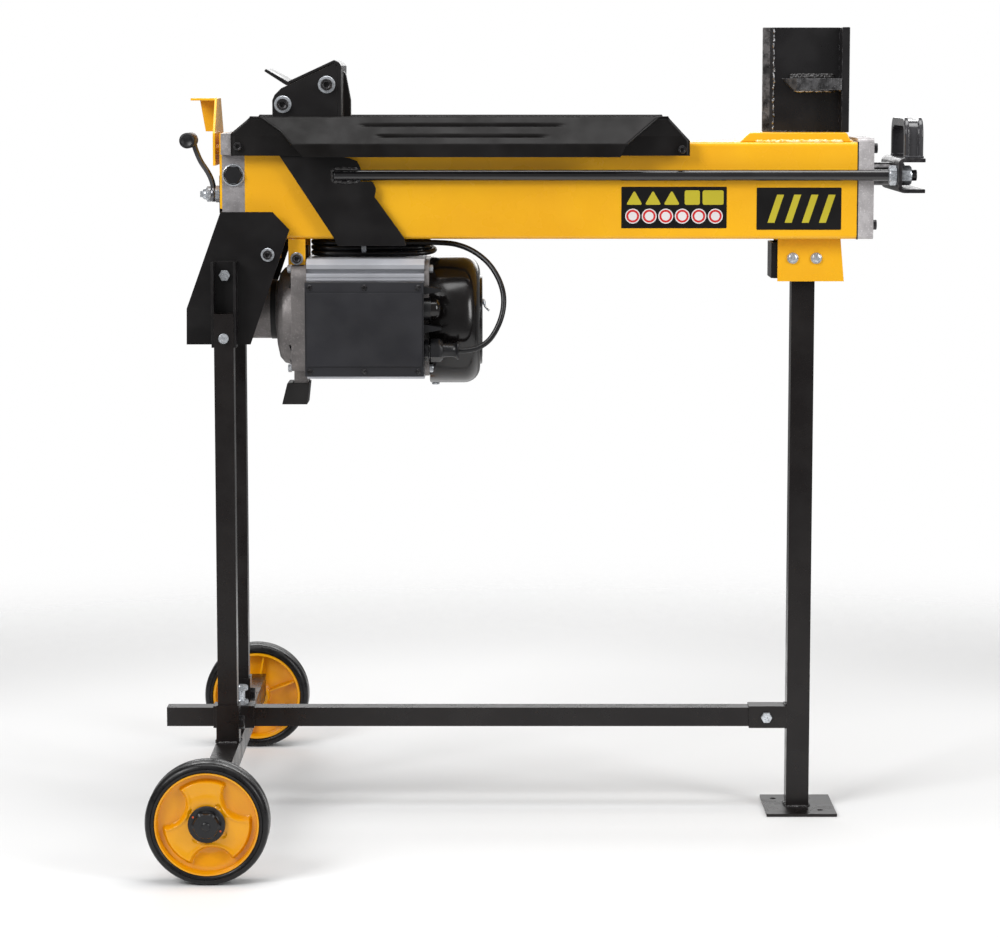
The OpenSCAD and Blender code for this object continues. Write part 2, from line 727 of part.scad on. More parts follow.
// End bell with a square back, ears for the beam's tabs and a foot.
module motor_flange() color("lightgray") difference() {
    union() {
        turned([[0, x0 + 38], [42, x0 + 38], [55, x0 + 41], [62, x0 + 47], [66, x0 + 59],
            [0, x0 + 59]], motor_z);
        along_x(motor_x0 - 20, motor_x0) translate([0, motor_z])
            round_rect(motor_w - 4, motor_w - 18, 16);
        both() box([motor_x0 - 20, -side + 3.5, motor_z + 40],
            [motor_x0 - 4, -side + 15, z0 - 14]);
        box([motor_x0 - 20, -20, motor_z - 90], [motor_x0 - 2, 20, motor_z - 60]);
    }
    rod_x(16 + run, x0 + 50, motor_x0 + 1, 0, motor_z);
    rod_x(shaft_d / 2 + 1, x0 + 37, motor_x0 + 1, 0, motor_z);
    rod_x(56, x0 + 66, motor_x0 + 1, 0, motor_z);
    both() rod_y(4 + bolt_play, -side, -side + 16, motor_x0 - 13, z0 - 25);
    at_tie_rods() cylinder(r = 2.5 + bolt_play, h = motor_l + 80, center = true);
}

// The four corners of the motor where its tie rods run, along X.
module at_tie_rods() {
    for (i = [-1, 1], j = [-1, 1])
        translate([motor_x0 + motor_l / 2, i * (motor_w / 2 - 14),
            motor_z + j * (motor_w / 2 - 13)])
            rotate([0, 90, 0]) children();
}

module motor_foot() color("black") difference() {
    plate_y([[motor_x0 - 36, motor_z - 115], [motor_x0 - 29, motor_z - 87],
        [motor_x0, motor_z - 87], [motor_x0 - 3, motor_z - 115]], -24, 24);
    box([motor_x0 - 22.1, -20.1, motor_z - 90.1], [motor_x0 - 1.9, 20.1, motor_z - 80]);
}

module pump_body() color("lightgray") difference() {
    rod_x(pump_r, x0, x0 + 38, 0, motor_z + 8);
    rod_x(gear_r + 2.9, x0 + 8, x0 + 26, 0, motor_z);
    rod_x(gear_r + 2.9, x0 + 8, x0 + 26, 0, idler_z);
    rod_x(shaft_d / 2 + run, x0 + 25, x0 + 39, 0, motor_z);
    rod_x(gear_axle + run, x0 + 4, x0 + 30, 0, idler_z);
}

// Fins of the housing: straight grooves along its top, underside and far side.
module stator_housing() color("lightgray") difference() {
    along_x(motor_x0, motor_x1) translate([0, motor_z]) difference() {
        round_rect(motor_w, motor_w, 12);
        circle(r = stator_r);
        for (i = [-5:5], s = [-1, 1]) {
            translate([i * 10 - 2, s * motor_w / 2 - 4]) square([4, 8]);
        }
        for (i = [-5:5]) translate([motor_w / 2 - 4, i * 10 - 2]) square([8, 4]);
    }
    at_tie_rods() cylinder(r = 2.5 + bolt_play, h = motor_l + 2, center = true);
}

module stator_core() color("chocolate") difference() {
    rod_x(stator_r - run, motor_x0 + 18, motor_x1 - 18, 0, motor_z);
    rod_x(rotor_r + 0.8, motor_x0 + 17, motor_x1 - 17, 0, motor_z);
}

// Square end plate with the seat of the rear bearing.
module rear_shield() color("lightgray") difference() {
    union() {
        along_x(motor_x1, motor_x1 + 6) translate([0, motor_z])
            round_rect(motor_w - 6, motor_w - 6, 16);
        rod_x(22, motor_x1 - 12, motor_x1 + 1, 0, motor_z);
    }
    rod_x(16 + run, motor_x1 - 13, motor_x1 - 1, 0, motor_z);
    rod_x(shaft_d / 2 + 1, motor_x1 - 2, motor_x1 + 7, 0, motor_z);
    at_tie_rods() cylinder(r = 2.5 + bolt_play, h = motor_l + 80, center = true);
}

module shaft_bearings() color("silver") for (x = [x0 + 50, motor_x1 - 11]) difference() {
    rod_x(16, x, x + 10, 0, motor_z);
    rod_x(shaft_d / 2 + run, x - 1, x + 11, 0, motor_z);
}

module rotor() color("gray") {
    rod_x(shaft_d / 2, x0 + 30, cover_x0 + 50, 0, motor_z);
    rod_x(gear_axle, x0 + 10, x0 + 30, 0, motor_z);
    rod_x(rotor_r, motor_x0 + 18, motor_x1 - 18, 0, motor_z);
}

module cooling_fan() color("black") difference() {
    union() {
        rod_x(14, cover_x0 + 16, cover_x0 + 48, 0, motor_z);
        rod_x(62, cover_x0 + 16, cover_x0 + 19, 0, motor_z);
        for (k = [0:7]) translate([cover_x0 + 18, 0, motor_z]) rotate([45 * k, 0, 0])
            translate([0, -1.5, 10]) cube([24, 3, 52]);
    }
    rod_x(shaft_d / 2, cover_x0, cover_x0 + 60, 0, motor_z);
}

// One pump gear: slim teeth that stay clear of their partner at every angle.
module pump_gear(z, turn, hole) {
    translate([x0 + 10, 0, z]) rotate([turn, 0, 0]) rotate([0, 90, 0]) difference() {
        union() {
            cylinder(r = gear_r - 2.8, h = 14);
            linear_extrude(14) for (k = [0:gear_teeth - 1]) rotate(360 / gear_teeth * k)
                polygon([[gear_r - 4, -1.8], [gear_r + 2.2, -0.7],
                    [gear_r + 2.2, 0.7], [gear_r - 4, 1.8]]);
        }
        translate([0, 0, -1]) cylinder(r = hole, h = 16);
    }
}

module drive_gear() color("gray") pump_gear(motor_z, 0, gear_axle);

module idler_gear() color("gray") {
    pump_gear(idler_z, 180 / gear_teeth, gear_axle);
    rod_x(gear_axle, x0 + 5, x0 + 29, 0, idler_z);
}

module fan_cover() color("black") difference() {
    turned([[0, cover_x0 + fan_cover_l], [fan_cover_d / 2 - 14, cover_x0 + fan_cover_l],
        [fan_cover_d / 2 - 5, cover_x0 + fan_cover_l - 4],
        [fan_cover_d / 2, cover_x0 + fan_cover_l - 14], [fan_cover_d / 2, cover_x0],
        [fan_cover_d / 2 - 3, cover_x0], [fan_cover_d / 2 - 3, cover_x0 + fan_cover_l - 14],
        [fan_cover_d / 2 - 8, cover_x0 + fan_cover_l - 7],
        [fan_cover_d / 2 - 15, cover_x0 + fan_cover_l - 3], [0, cover_x0 + fan_cover_l - 3]],
        cover_z);
    for (r = [22, 38, 54], k = [0:11]) translate([cover_x0, 0, cover_z])
        rotate([30 * k + r, 0, 0]) rod_x(3, 50, fan_cover_l + 1, 0, r);
}

// Tie rods of the motor, bolts of its flange and screws of the terminal lid.
module motor_fasteners() color("silver") {
    at_tie_rods() {
        cylinder(r = 2.5, h = motor_l + 56, center = true);
        for (k = [-1, 1]) translate([0, 0, k > 0 ? motor_l / 2 + 6 : -motor_l / 2 - 25])
            cylinder(r = 9 / sqrt(3), h = 5, $fn = 6);
    }
    both() {
        rod_y(4, -side - 2, -side + 15, motor_x0 - 13, z0 - 25);
        rod_y(6.5, -side - 6, -side + 0.5, motor_x0 - 13, z0 - 25);
    }
    for (z = [box_z0 + 6.5, box_z1 - 6.5], x = [motor_x0 + 6, (motor_x0 + box_x1) / 2, box_x1 - 7])
        rod_y(3.6, -box_y - 5, -box_y - 3, x, z);
    translate([cover_x0 + 7, 0, cover_z - fan_cover_d / 2 - 3]) cylinder(r = 4.5, h = 3.5);
}

// ---------------------------------------------------------------- terminal box

module terminal_box() color("black") difference() {
    box([motor_x0, -box_y, box_z0], [box_x1, -motor_w / 2, box_z1]);
    box([motor_x0 + 3, -box_y - 1, box_z0 + 3], [box_x1 - 3, -motor_w / 2 - 3, box_z1 - 3]);
    rod_x(button_d / 2 + 1.2 + run, box_x1 - 4, box_x1 + 1, -outlet_y, switch_z);
    rod_x(8, box_x1 - 4, box_x1 + 1, -outlet_y, gland_z);
}

module terminal_lid() color("black") {
    box([motor_x0, -box_y - 3, box_z0], [box_x1, -box_y, box_z1]);
    box([motor_x0 + 2, -box_y - 5, box_z0 + 13], [box_x1 - 2, -box_y - 3, box_z1 - 13]);
}

module capacitor() color("silver")
    rod_x(14, motor_x0 + 10, motor_x0 + 90, -motor_w / 2 - 17, box_z0 + 17);

module switch_housing() color("black") {
    difference() {
        union() {
            rod_x(button_d / 2 + 1.2, box_x1 - 3, box_x1 + 9, -outlet_y, switch_z);
            box([box_x1 - 38, -outlet_y - 14, switch_z - 18],
                [box_x1 - 3, -outlet_y + 14, switch_z + 18]);
        }
        rod_x(button_d / 2 + run, box_x1 - 3 - button_travel - 1, box_x1 + 10,
            -outlet_y, switch_z);
    }
    for (z = [-30, 19]) plate_y([[box_x1, switch_z + z], [box_x1, switch_z + z + 11],
        [box_x1 + 22, switch_z + z + 7], [box_x1 + 22, switch_z + z + 4]],
        -outlet_y - 12, -outlet_y + 12);
}

module switch_button() color("black")
    rod_x(button_d / 2, box_x1 - 3, box_x1 + 21, -outlet_y, switch_z);

module cable_gland() color("black") {
    rod_x(7.9, box_x1 - 6, box_x1, -outlet_y, gland_z);
    hex_x(24, box_x1, box_x1 + 6, -outlet_y, gland_z);
    rod_x(10, box_x1 + 6, box_x1 + 8, -outlet_y, gland_z);
    hex_x(26, box_x1 + 8, box_x1 + 24, -outlet_y, gland_z);
    translate([0, -outlet_y, 0]) turned([[0, box_x1 + 24], [9, box_x1 + 24], [8, box_x1 + 39],
        [12, box_x1 + 42], [12, box_x1 + 44], [0, box_x1 + 44]], gland_z);
}

// ---------------------------------------------------------------- controls

guard_outline = [[-65, bed_z - 30], [65, bed_z - 30], [65, bed_z + 11], [30, bed_z + 55.5],
    [-30, bed_z + 55.5], [-65, bed_z + 11]];

module hand_guard() color("gold") {
    // Hood: sloping-sided plate with a top flange and a side web
    along_x(guard_x - 3, guard_x) polygon(guard_outline);
    box([guard_x - 34, -30, bed_z + 52.5], [guard_x - 3, 30, bed_z + 55.5]);
    plate_y([[guard_x - 27, bed_z + 52.5], [guard_x - 20, bed_z + 12], [guard_x - 3, bed_z + 12],
        [guard_x - 3, bed_z + 52.5]], 26, 29);
    // Base plate on the pump head
    difference() {
        box([x0 - head_t - 3, -60, z0 + 39], [x0 - head_t, 60, bed_z + 11]);
        rod_x(6 + run, x0 - head_t - 4, x0 - head_t + 1, spool_y, spool_z);
    }
    for (y = [-40, 40]) rod_x(6, guard_x, x0 - head_t - 3, y, bed_z - 10);
}

spool_x0 = x0 - head_t - 30;

module valve_spool() color("silver") {
    rod_x(6, spool_x0 + 6, x0 - head_t + 21, spool_y, spool_z);
    box([spool_x0, spool_y - 4, spool_z - 4], [spool_x0 + 6, spool_y + 4, spool_z + 4]);
    hex_x(19, x0 - head_t - 10, x0 - head_t - 3.5, spool_y, spool_z);
    turned_at_spool([[0, spool_x0 + 5], [6, spool_x0 + 6], [9, spool_x0 + 10],
        [9, spool_x0 + 14], [0, spool_x0 + 14]]);
}

// A profile turned around the spool's axis.
module turned_at_spool(points) {
    translate([0, spool_y, 0]) turned(points, spool_z);
}

arm_route = [[spool_x0 + 17, spool_y, spool_z + 8], [spool_x0 + 15, spool_y, spool_z + 17],
    [spool_x0 + 10, spool_y, spool_z + 28], [spool_x0 + 1, spool_y, spool_z + 42],
    [spool_x0 - 5, spool_y, spool_z + 56], [spool_x0 - 8, spool_y, spool_z + 66],
    [grip_x + 2, spool_y, grip_z]];

module lever_arm() color("gray") {
    difference() {
        rod_x(10, spool_x0 + 14, spool_x0 + 20, spool_y, spool_z);
        rod_x(6, spool_x0 + 13, spool_x0 + 21, spool_y, spool_z);
    }
    sweep(smooth(arm_route, 3), 3.5, 10, [0, 1, 0]);
}

module lever_grip() color("black") difference() {
    rod_y(grip_d / 2, spool_y - grip_l + 14, spool_y + 14, grip_x, grip_z);
    sweep(smooth(arm_route, 3), 3.6, 10, [0, 1, 0]);
}

// ---------------------------------------------------------------- ram

carriage_outline = [
    [face_x - 88, bed_z + ram_h - 47], [face_x - 85, bed_z + ram_h - 40],
    [face_x - 76.5, bed_z + ram_h - 31.5], [face_x - 70, bed_z + ram_h - 28.5],
    [face_x - 9, bed_z + ram_h - 0.2], [face_x - 5, bed_z + ram_h - 4],
    [face_x - 5, bed_z - 18], [face_x + 9, bed_z - 20], [face_x + 19.5, bed_z - 24],
    [face_x + 25.5, bed_z - 36], [face_x + 40, z0 + 72.5], [face_x + 43.5, z0 + 65],
    [face_x + 42, z0 + 54], [face_x + 79, z0 + 2.5], [face_x + 81.5, z0 - 8],
    [face_x - 5.5, z0 - 8], [face_x - 11.5, z0 + 3.5], [face_x - 81.5, bed_z - 14],
    [face_x - 88, bed_z + 34]];
pusher_bolt_places = [[face_x - 74.5, bed_z + ram_h - 52], [face_x - 18.5, bed_z + ram_h - 27]];

module carriage_plates() color("black") both() difference() {
    union() {
        plate_y(carriage_outline, -plate_out, -plate_in);
        box([face_x - 5.5, -plate_in, z0 - 8], [face_x + 81.5, -plate_in + 22, z0 - 3]);
    }
    box([face_x - 12, -plate_out - 1, axis_z - slot_h / 2],
        [face_x + 90, -plate_in + 1, axis_z + slot_h / 2]);
    for (p = pusher_bolt_places)
        rod_y(5 + bolt_play, -plate_out - 1, -plate_in + 1, p[0], p[1]);
}

module pusher() color("black") {
    plate_y([[face_x, bed_z + 2], [face_x, bed_z + ram_h - 3],
        [face_x - 3, bed_z + ram_h + 1.5], [face_x - 9, bed_z + ram_h + 4.2],
        [face_x - 68, bed_z + ram_h - 23], [face_x - 96, bed_z + ram_h - 7],
        [face_x - 98, bed_z + ram_h - 10], [face_x - 70, bed_z + ram_h - 28],
        [face_x - 10, bed_z + ram_h + 0.2], [face_x - 5, bed_z + ram_h - 3.5],
        [face_x - 5, bed_z + 2]], -plate_out, plate_out);
    plate_y([[face_x, bed_z + 6], [face_x + 9, bed_z + 12], [face_x + 9, bed_z + 53],
        [face_x + 3, bed_z + 86], [face_x, bed_z + 90]], -7, 7);
}

// Bolts across the carriage and nuts on the rods.
module ram_fasteners() color("silver") {
    for (p = pusher_bolt_places) {
        rod_y(5, -plate_out - 2.5, plate_out + 2.5, p[0], p[1]);
        both() rod_y(11, -plate_out - 2.5, -plate_out, p[0], p[1]);
        both() rod_y(7.5, -plate_out - 9, -plate_out - 2.5, p[0], p[1]);
    }
    both() {
        nut(22, yoke_x - 10, yoke_x, pull_y, pull_rod_d / 2);
        nut(22, yoke_x + yoke_t, yoke_x + yoke_t + 14, pull_y, pull_rod_d / 2);
    }
    nut(27, yoke_x + yoke_t, yoke_x + yoke_t + 14, 0, 9);
}

// A nut along X.
module nut(flats, a, b, y, hole) {
    difference() {
        hex_x(flats, a, b, -y, axis_z);
        rod_x(hole + run, a - 1, b + 1, -y, axis_z);
    }
}

module pull_rods() color("black") both() {
    rod_x(pull_rod_d / 2, face_x - 10, yoke_x + yoke_t + 21, -pull_y, axis_z);
    // Weld that fills the slot in the carriage plate
    difference() {
        box([face_x - 12, -plate_out, axis_z - slot_h / 2],
            [face_x + 24, -plate_in, axis_z + slot_h / 2]);
        rod_x(pull_rod_d / 2, face_x - 10, face_x + 30, -pull_y, axis_z);
    }
}

module yoke() color("dimgray") difference() {
    plate_y([[yoke_x, yoke_z0], [yoke_x + yoke_reach, yoke_z0],
        [yoke_x + yoke_reach, yoke_z0 + yoke_t], [yoke_x + yoke_t, yoke_z0 + yoke_t],
        [yoke_x + yoke_t, yoke_z1 - yoke_t], [yoke_x + yoke_reach, yoke_z1 - yoke_t],
        [yoke_x + yoke_reach, yoke_z1], [yoke_x, yoke_z1]], -yoke_w / 2, yoke_w / 2);
    rod_x(9 + run, yoke_x - 1, yoke_x + yoke_t + 1, 0, axis_z);
    both() rod_x(pull_rod_d / 2 + run, yoke_x - 1, yoke_x + yoke_t + 1, -pull_y, axis_z);
}

module carry_handle() color("black") along_x(yoke_x + 10, yoke_x + 34)
    translate([0, yoke_z1]) difference() {
        union() {
            translate([0, handle_h / 2]) round_rect(handle_w, handle_h, 18);
            translate([-handle_w / 2, 0]) square([handle_w, handle_h / 2]);
        }
        translate([0, handle_h / 2 - 5]) round_rect(handle_w - 40, handle_h - 18, 10);
    }

// ---------------------------------------------------------------- cord

module cord() color("black") {
    sweep(smooth(cord_route, 3), cord_d / 2, 8, [0, 1, 0.3]);
    sweep(smooth(tail_route, 3), cord_d / 2, 8, [1, -0.3, 0.2]);
}

module cord_hank() color("black") translate([hank_mid[0], hank_mid[1], hank_z[0]])
    linear_extrude(hank_z[1] - hank_z[0]) {
        square([hank_run, 2 * hank_r], center = true);
        for (s = [-1, 1]) translate([s * hank_run / 2, 0]) circle(r = hank_r);
    }

module plug() color("black") {
    end = tail_route[len(tail_route) - 1];
    translate([end[0], end[1], end[2]]) mirror([0, 0, 1]) {
        cylinder(r1 = 5, r2 = 8, h = 22);
        translate([0, 0, 22]) cylinder(r1 = 13, r2 = 19, h = 12);
        translate([0, 0, 34]) cylinder(r = 19, h = 30);
        for (s = [-1, 1]) translate([s * 9.5, 0, 64]) cylinder(r = 2.4, h = 19);
    }
}

// ---------------------------------------------------------------- drawing

beam();
wedge_base();
wedge_blade();
wedge_side_wings();
end_cap();
rod_seal();
tie_bolts();
pump_head();
oil_plug();
cylinder_tube();
return_spring();
log_wings();
cover_screws();
leg_cover();
beam_brackets();
rear_legs();
axle_tube();
stand_bolts();
wheel_bolts();
tie_rail();
front_leg();
foot_plate();
motor_flange();
motor_foot();
pump_body();
stator_housing();
stator_core();
rear_shield();
shaft_bearings();
terminal_box();
terminal_lid();
capacitor();
switch_housing();
cable_gland();
fan_cover();
motor_fasteners();
hand_guard();
lever_arm();
lever_grip();
valve_spool();
switch_button();
rotor();
cooling_fan();
drive_gear();
idler_gear();
carriage_plates();
pusher();
ram_fasteners();
pull_rods();
yoke();
carry_handle();
piston_rod();
piston();
rim_near();
rim_far();
tyre_near();
tyre_far();
cord();
cord_hank();
plug();
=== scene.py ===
"""An electric log splitter on its wheeled stand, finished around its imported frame.

+X runs from the pump end to the wedge end, +Z is up and the ground is z = 0.
Lengths are in metres; MM turns a maker's millimetres into them.
"""

from __future__ import annotations

import json
import logging
import math
import random
from dataclasses import dataclass, field
from enum import Enum
from typing import Callable, Iterable, Sequence

import bmesh
import bpy
from mathutils import Matrix, Vector, noise

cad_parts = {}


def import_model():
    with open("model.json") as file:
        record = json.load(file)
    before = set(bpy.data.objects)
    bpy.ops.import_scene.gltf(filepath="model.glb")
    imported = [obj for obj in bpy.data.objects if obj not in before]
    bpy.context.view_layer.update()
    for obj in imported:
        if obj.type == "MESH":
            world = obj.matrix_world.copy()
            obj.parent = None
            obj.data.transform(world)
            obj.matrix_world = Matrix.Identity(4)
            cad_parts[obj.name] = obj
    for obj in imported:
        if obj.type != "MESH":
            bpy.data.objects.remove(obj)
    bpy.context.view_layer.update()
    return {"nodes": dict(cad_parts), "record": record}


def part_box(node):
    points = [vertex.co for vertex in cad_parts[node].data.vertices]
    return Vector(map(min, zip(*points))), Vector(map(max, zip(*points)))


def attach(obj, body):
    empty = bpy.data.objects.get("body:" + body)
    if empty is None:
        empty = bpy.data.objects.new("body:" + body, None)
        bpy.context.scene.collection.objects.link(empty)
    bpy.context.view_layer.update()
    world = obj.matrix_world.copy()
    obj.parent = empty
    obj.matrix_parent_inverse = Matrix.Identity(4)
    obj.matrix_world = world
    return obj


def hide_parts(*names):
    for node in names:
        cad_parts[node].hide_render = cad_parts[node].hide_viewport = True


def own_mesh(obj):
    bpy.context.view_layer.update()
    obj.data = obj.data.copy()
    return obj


MM = 0.001
POLE = 0.00002  # radius that a turned body closes at
SAME_PLACE = 2e-6  # points nearer than this are one point
LOG = logging.getLogger("log_splitter")

Point = Sequence[float]
Rgb = tuple[float, float, float]
Socket = bpy.types.NodeSocket


class Axis(Enum):
    """The direction that a turned or extruded piece runs in."""

    X = Matrix(((0, 0, 1), (0, 1, 0), (-1, 0, 0)))
    Y = Matrix(((1, 0, 0), (0, 0, 1), (0, -1, 0)))
    Z = Matrix(((1, 0, 0), (0, 1, 0), (0, 0, 1)))


class Ring(Enum):
    """The outline of one ring of a turned or hexagonal fastener."""

    ROUND = "round"
    HEX = "hex"


# ---------------------------------------------------------------- finishes


@dataclass(frozen=True)
class Finish:
    """A procedural surface: two shades, its gloss, its grain and its wear.

    Attributes:
        name: Name of the material.
        shade: Main colour.
        drift: Colour that the main one drifts towards in patches.
        metallic: How metallic the surface is, 0 to 1.
        gloss: Lowest and highest roughness.
        patch: Size of the colour patches, in metres.
        grain: Size of the surface grain, in metres.
        relief: Depth of the grain, in metres.
        scuff: Colour of scuffs and rubbed edges.
        scuffed: Share of the surface that is scuffed.
        edge: How much the edges are rubbed.
        brushed: Stretch of the grain along X.
        speckle: Strength of the fine light and dark specks.
        coat: Strength of a clear top coat.
        shine: Strength of the plain reflection, 0.5 for an ordinary paint.
    """

    name: str
    shade: Rgb
    drift: Rgb
    metallic: float = 0.0
    gloss: tuple[float, float] = (0.3, 0.45)
    patch: float = 0.09
    grain: float = 0.0012
    relief: float = 0.00002
    scuff: Rgb = (0.3, 0.29, 0.28)
    scuffed: float = 0.0
    edge: float = 0.0
    brushed: float = 1.0
    speckle: float = 0.0
    coat: float = 0.0
    shine: float = 0.5

    def material(self) -> bpy.types.Material:
        """Returns the material, made once and then found by its name."""
        found = bpy.data.materials.get(f"{self.name}_look")
        return found if found else Painter(self).paint()


class Painter:
    """Builds the node tree of one finish."""

    def __init__(self, finish: Finish) -> None:
        """Starts an empty material.

        Args:
            finish: The finish to build.
        """
        self.finish = finish
        self.stuff = bpy.data.materials.new(f"{finish.name}_look")
        self.stuff.use_nodes = True
        self.stuff.diffuse_color = (*finish.shade, 1.0)
        self.tree = self.stuff.node_tree
        self.shader = self.tree.nodes["Principled BSDF"]
        self.place = self.node("ShaderNodeTexCoord").outputs["Object"]

    def node(self, kind: str, **values: object) -> bpy.types.Node:
        """Adds a node and sets its properties.

        Args:
            kind: Blender's name of the node type.
            **values: Properties to set on it.

        Returns:
            The new node.
        """
        made = self.tree.nodes.new(kind)
        for key, value in values.items():
            setattr(made, key, value)
        return made

    def noise(self, size: float, detail: float = 3.0, stretch: Point = (1, 1, 1)) -> Socket:
        """Returns a noise value of about the given feature size.

        Args:
            size: Size of one feature, in metres.
            detail: Number of finer layers.
            stretch: How much the noise is squeezed along each axis.
        """
        scaled = self.node("ShaderNodeMapping")
        scaled.inputs["Scale"].default_value = stretch
        self.tree.links.new(self.place, scaled.inputs["Vector"])
        made = self.node("ShaderNodeTexNoise")
        made.inputs["Scale"].default_value = 1.0 / size
        made.inputs["Detail"].default_value = detail
        self.tree.links.new(scaled.outputs["Vector"], made.inputs["Vector"])
        return made.outputs["Fac"]

    def span(self, value: Socket, low: float, high: float, to_low: float, to_high: float) -> Socket:
        """Returns a value mapped from one span onto another, clamped.

        Args:
            value: The incoming value.
            low: Lowest incoming value.
            high: Highest incoming value.
            to_low: What the lowest becomes.
            to_high: What the highest becomes.
        """
        made = self.node("ShaderNodeMapRange", interpolation_type="SMOOTHSTEP")
        for name, number in (("From Min", low), ("From Max", high), ("To Min", to_low), ("To Max", to_high)):
            made.inputs[name].default_value = number
        self.tree.links.new(value, made.inputs["Value"])
        return made.outputs["Result"]

    def mix(self, share: Socket, first: Socket | Rgb, second: Rgb) -> Socket:
        """Returns the first colour mixed with the second by the given share.

        Args:
            share: Share of the second colour.
            first: A colour or the socket of one.
            second: The colour to mix in.
        """
        made = self.node("ShaderNodeMix", data_type="RGBA")
        self.tree.links.new(share, made.inputs["Factor"])
        if isinstance(first, Socket):
            self.tree.links.new(first, made.inputs[6])
        else:
            made.inputs[6].default_value = (*first, 1.0)
        made.inputs[7].default_value = (*second, 1.0)
        return made.outputs[2]

    def maths(self, what: str, first: Socket, second: Socket | float) -> Socket:
        """Returns the result of one sum on two values, clamped to 0 and 1.

        Args:
            what: Blender's name of the operation.
            first: The first value.
            second: The second value, or a plain number.
        """
        made = self.node("ShaderNodeMath", operation=what, use_clamp=True)
        self.tree.links.new(first, made.inputs[0])
        if isinstance(second, Socket):
            self.tree.links.new(second, made.inputs[1])
        else:
            made.inputs[1].default_value = second
        return made.outputs["Value"]

    def rubbed_edges(self) -> Socket:
        """Returns where an edge is near, from a rounded normal."""
        rounded = self.node("ShaderNodeBevel", samples=4)
        rounded.inputs["Radius"].default_value = 1.1 * MM
        plain = self.node("ShaderNodeNewGeometry")
        likeness = self.node("ShaderNodeVectorMath", operation="DOT_PRODUCT")
        self.tree.links.new(rounded.outputs["Normal"], likeness.inputs[0])
        self.tree.links.new(plain.outputs["Normal"], likeness.inputs[1])
        near = self.span(likeness.outputs["Value"], 0.80, 0.97, 1.0, 0.0)
        broken = self.span(self.noise(0.007, 4.0), 0.42, 0.6, 0.0, self.finish.edge)
        return self.maths("MULTIPLY", near, broken)

    def paint(self) -> bpy.types.Material:
        """Returns the finished material."""
        f = self.finish
        colour = self.mix(self.span(self.noise(f.patch), 0.35, 0.68, 0.0, 1.0), f.shade, f.drift)
        grain = self.noise(f.grain, 4.0, (1.0 / f.brushed, 1.0, 1.0))
        if f.speckle:
            dark = tuple(c * (1.0 - f.speckle) for c in f.shade)
            light = tuple(min(1.0, c * (1.0 + f.speckle)) for c in f.shade)
            colour = self.mix(self.span(grain, 0.52, 0.7, 0.0, 0.8), colour, dark)
            colour = self.mix(self.span(self.noise(f.grain * 1.7, 2.0), 0.56, 0.7, 0.0, 0.8), colour, light)
        wear = None
        if f.scuffed:
            streak = self.span(self.noise(0.012, 5.0, (0.25, 1.0, 1.6)), 0.66, 0.76, 0.0, 0.5)
            region = self.span(self.noise(0.05, 2.0), 0.62 - f.scuffed, 0.8 - f.scuffed, 0.0, 1.0)
            wear = self.maths("MULTIPLY", streak, region)
        if f.edge:
            rubbed = self.rubbed_edges()
            wear = self.maths("MAXIMUM", wear, rubbed) if wear else rubbed
        if wear:
            colour = self.mix(wear, colour, f.scuff)
        self.tree.links.new(colour, self.shader.inputs["Base Color"])
        dull = self.span(self.noise(f.patch * 0.35, 4.0), 0.3, 0.7, f.gloss[0], f.gloss[1])
        if wear:
            dull = self.maths("ADD", dull, self.maths("MULTIPLY", wear, 0.25))
        self.tree.links.new(dull, self.shader.inputs["Roughness"])
        self.shader.inputs["Metallic"].default_value = f.metallic
        self.shader.inputs["Specular IOR Level"].default_value = f.shine
        self.shader.inputs["Coat Weight"].default_value = f.coat
        self.shader.inputs["Coat Roughness"].default_value = 0.12
        bump = self.node("ShaderNodeBump")
        bump.inputs["Strength"].default_value = 0.7
        bump.inputs["Distance"].default_value = f.relief
        self.tree.links.new(grain, bump.inputs["Height"])
        self.tree.links.new(bump.outputs["Normal"], self.shader.inputs["Normal"])
        return self.stuff


YELLOW = Finish("yellow_powder_coat", (0.94, 0.485, 0.010), (0.87, 0.42, 0.009), gloss=(0.22, 0.34), patch=0.16,
                relief=0.00003, scuff=(0.86, 0.62, 0.32), scuffed=0.04, edge=0.12, coat=0.2, shine=0.4)
BLACK = Finish("black_powder_coat", (0.0052, 0.0045, 0.0048), (0.0085, 0.0075, 0.0078), gloss=(0.30, 0.44),
               relief=0.00004, scuff=(0.09, 0.085, 0.085), scuffed=0.05, edge=0.4, shine=0.32)
BLACK_SHEET = Finish("black_scuffed_sheet", (0.0055, 0.0048, 0.0045), (0.0105, 0.0095, 0.0095),
                     gloss=(0.30, 0.50), relief=0.00004, scuff=(0.10, 0.10, 0.115), scuffed=0.08, edge=0.5,
                     shine=0.16)
TUBE_BLACK = Finish("black_tube_paint", (0.0068, 0.0052, 0.0052), (0.0105, 0.0085, 0.0082), gloss=(0.24, 0.36),
                    relief=0.000025, scuff=(0.12, 0.09, 0.08), scuffed=0.03, edge=0.3, shine=0.36)
WEDGE_BLACK = Finish("wedge_black", (0.0075, 0.0068, 0.0075), (0.0145, 0.0135, 0.0145), gloss=(0.22, 0.38),
                     relief=0.00009, grain=0.0022, scuff=(0.30, 0.30, 0.31), scuffed=0.04, edge=0.5, shine=0.42)
GROUND = Finish("ground_bevel", (0.11, 0.105, 0.108), (0.014, 0.013, 0.014), metallic=0.6, gloss=(0.2, 0.45),
                patch=0.014, grain=0.0026, relief=0.0006, brushed=0.3, scuff=(0.45, 0.45, 0.46), scuffed=0.2,
                edge=0.6)
MILLED = Finish("milled_wing", (0.16, 0.158, 0.163), (0.05, 0.049, 0.051), metallic=0.7, gloss=(0.22, 0.42),
                patch=0.012, grain=0.014, relief=0.0006, brushed=0.1, edge=0.7, scuff=(0.6, 0.6, 0.61))
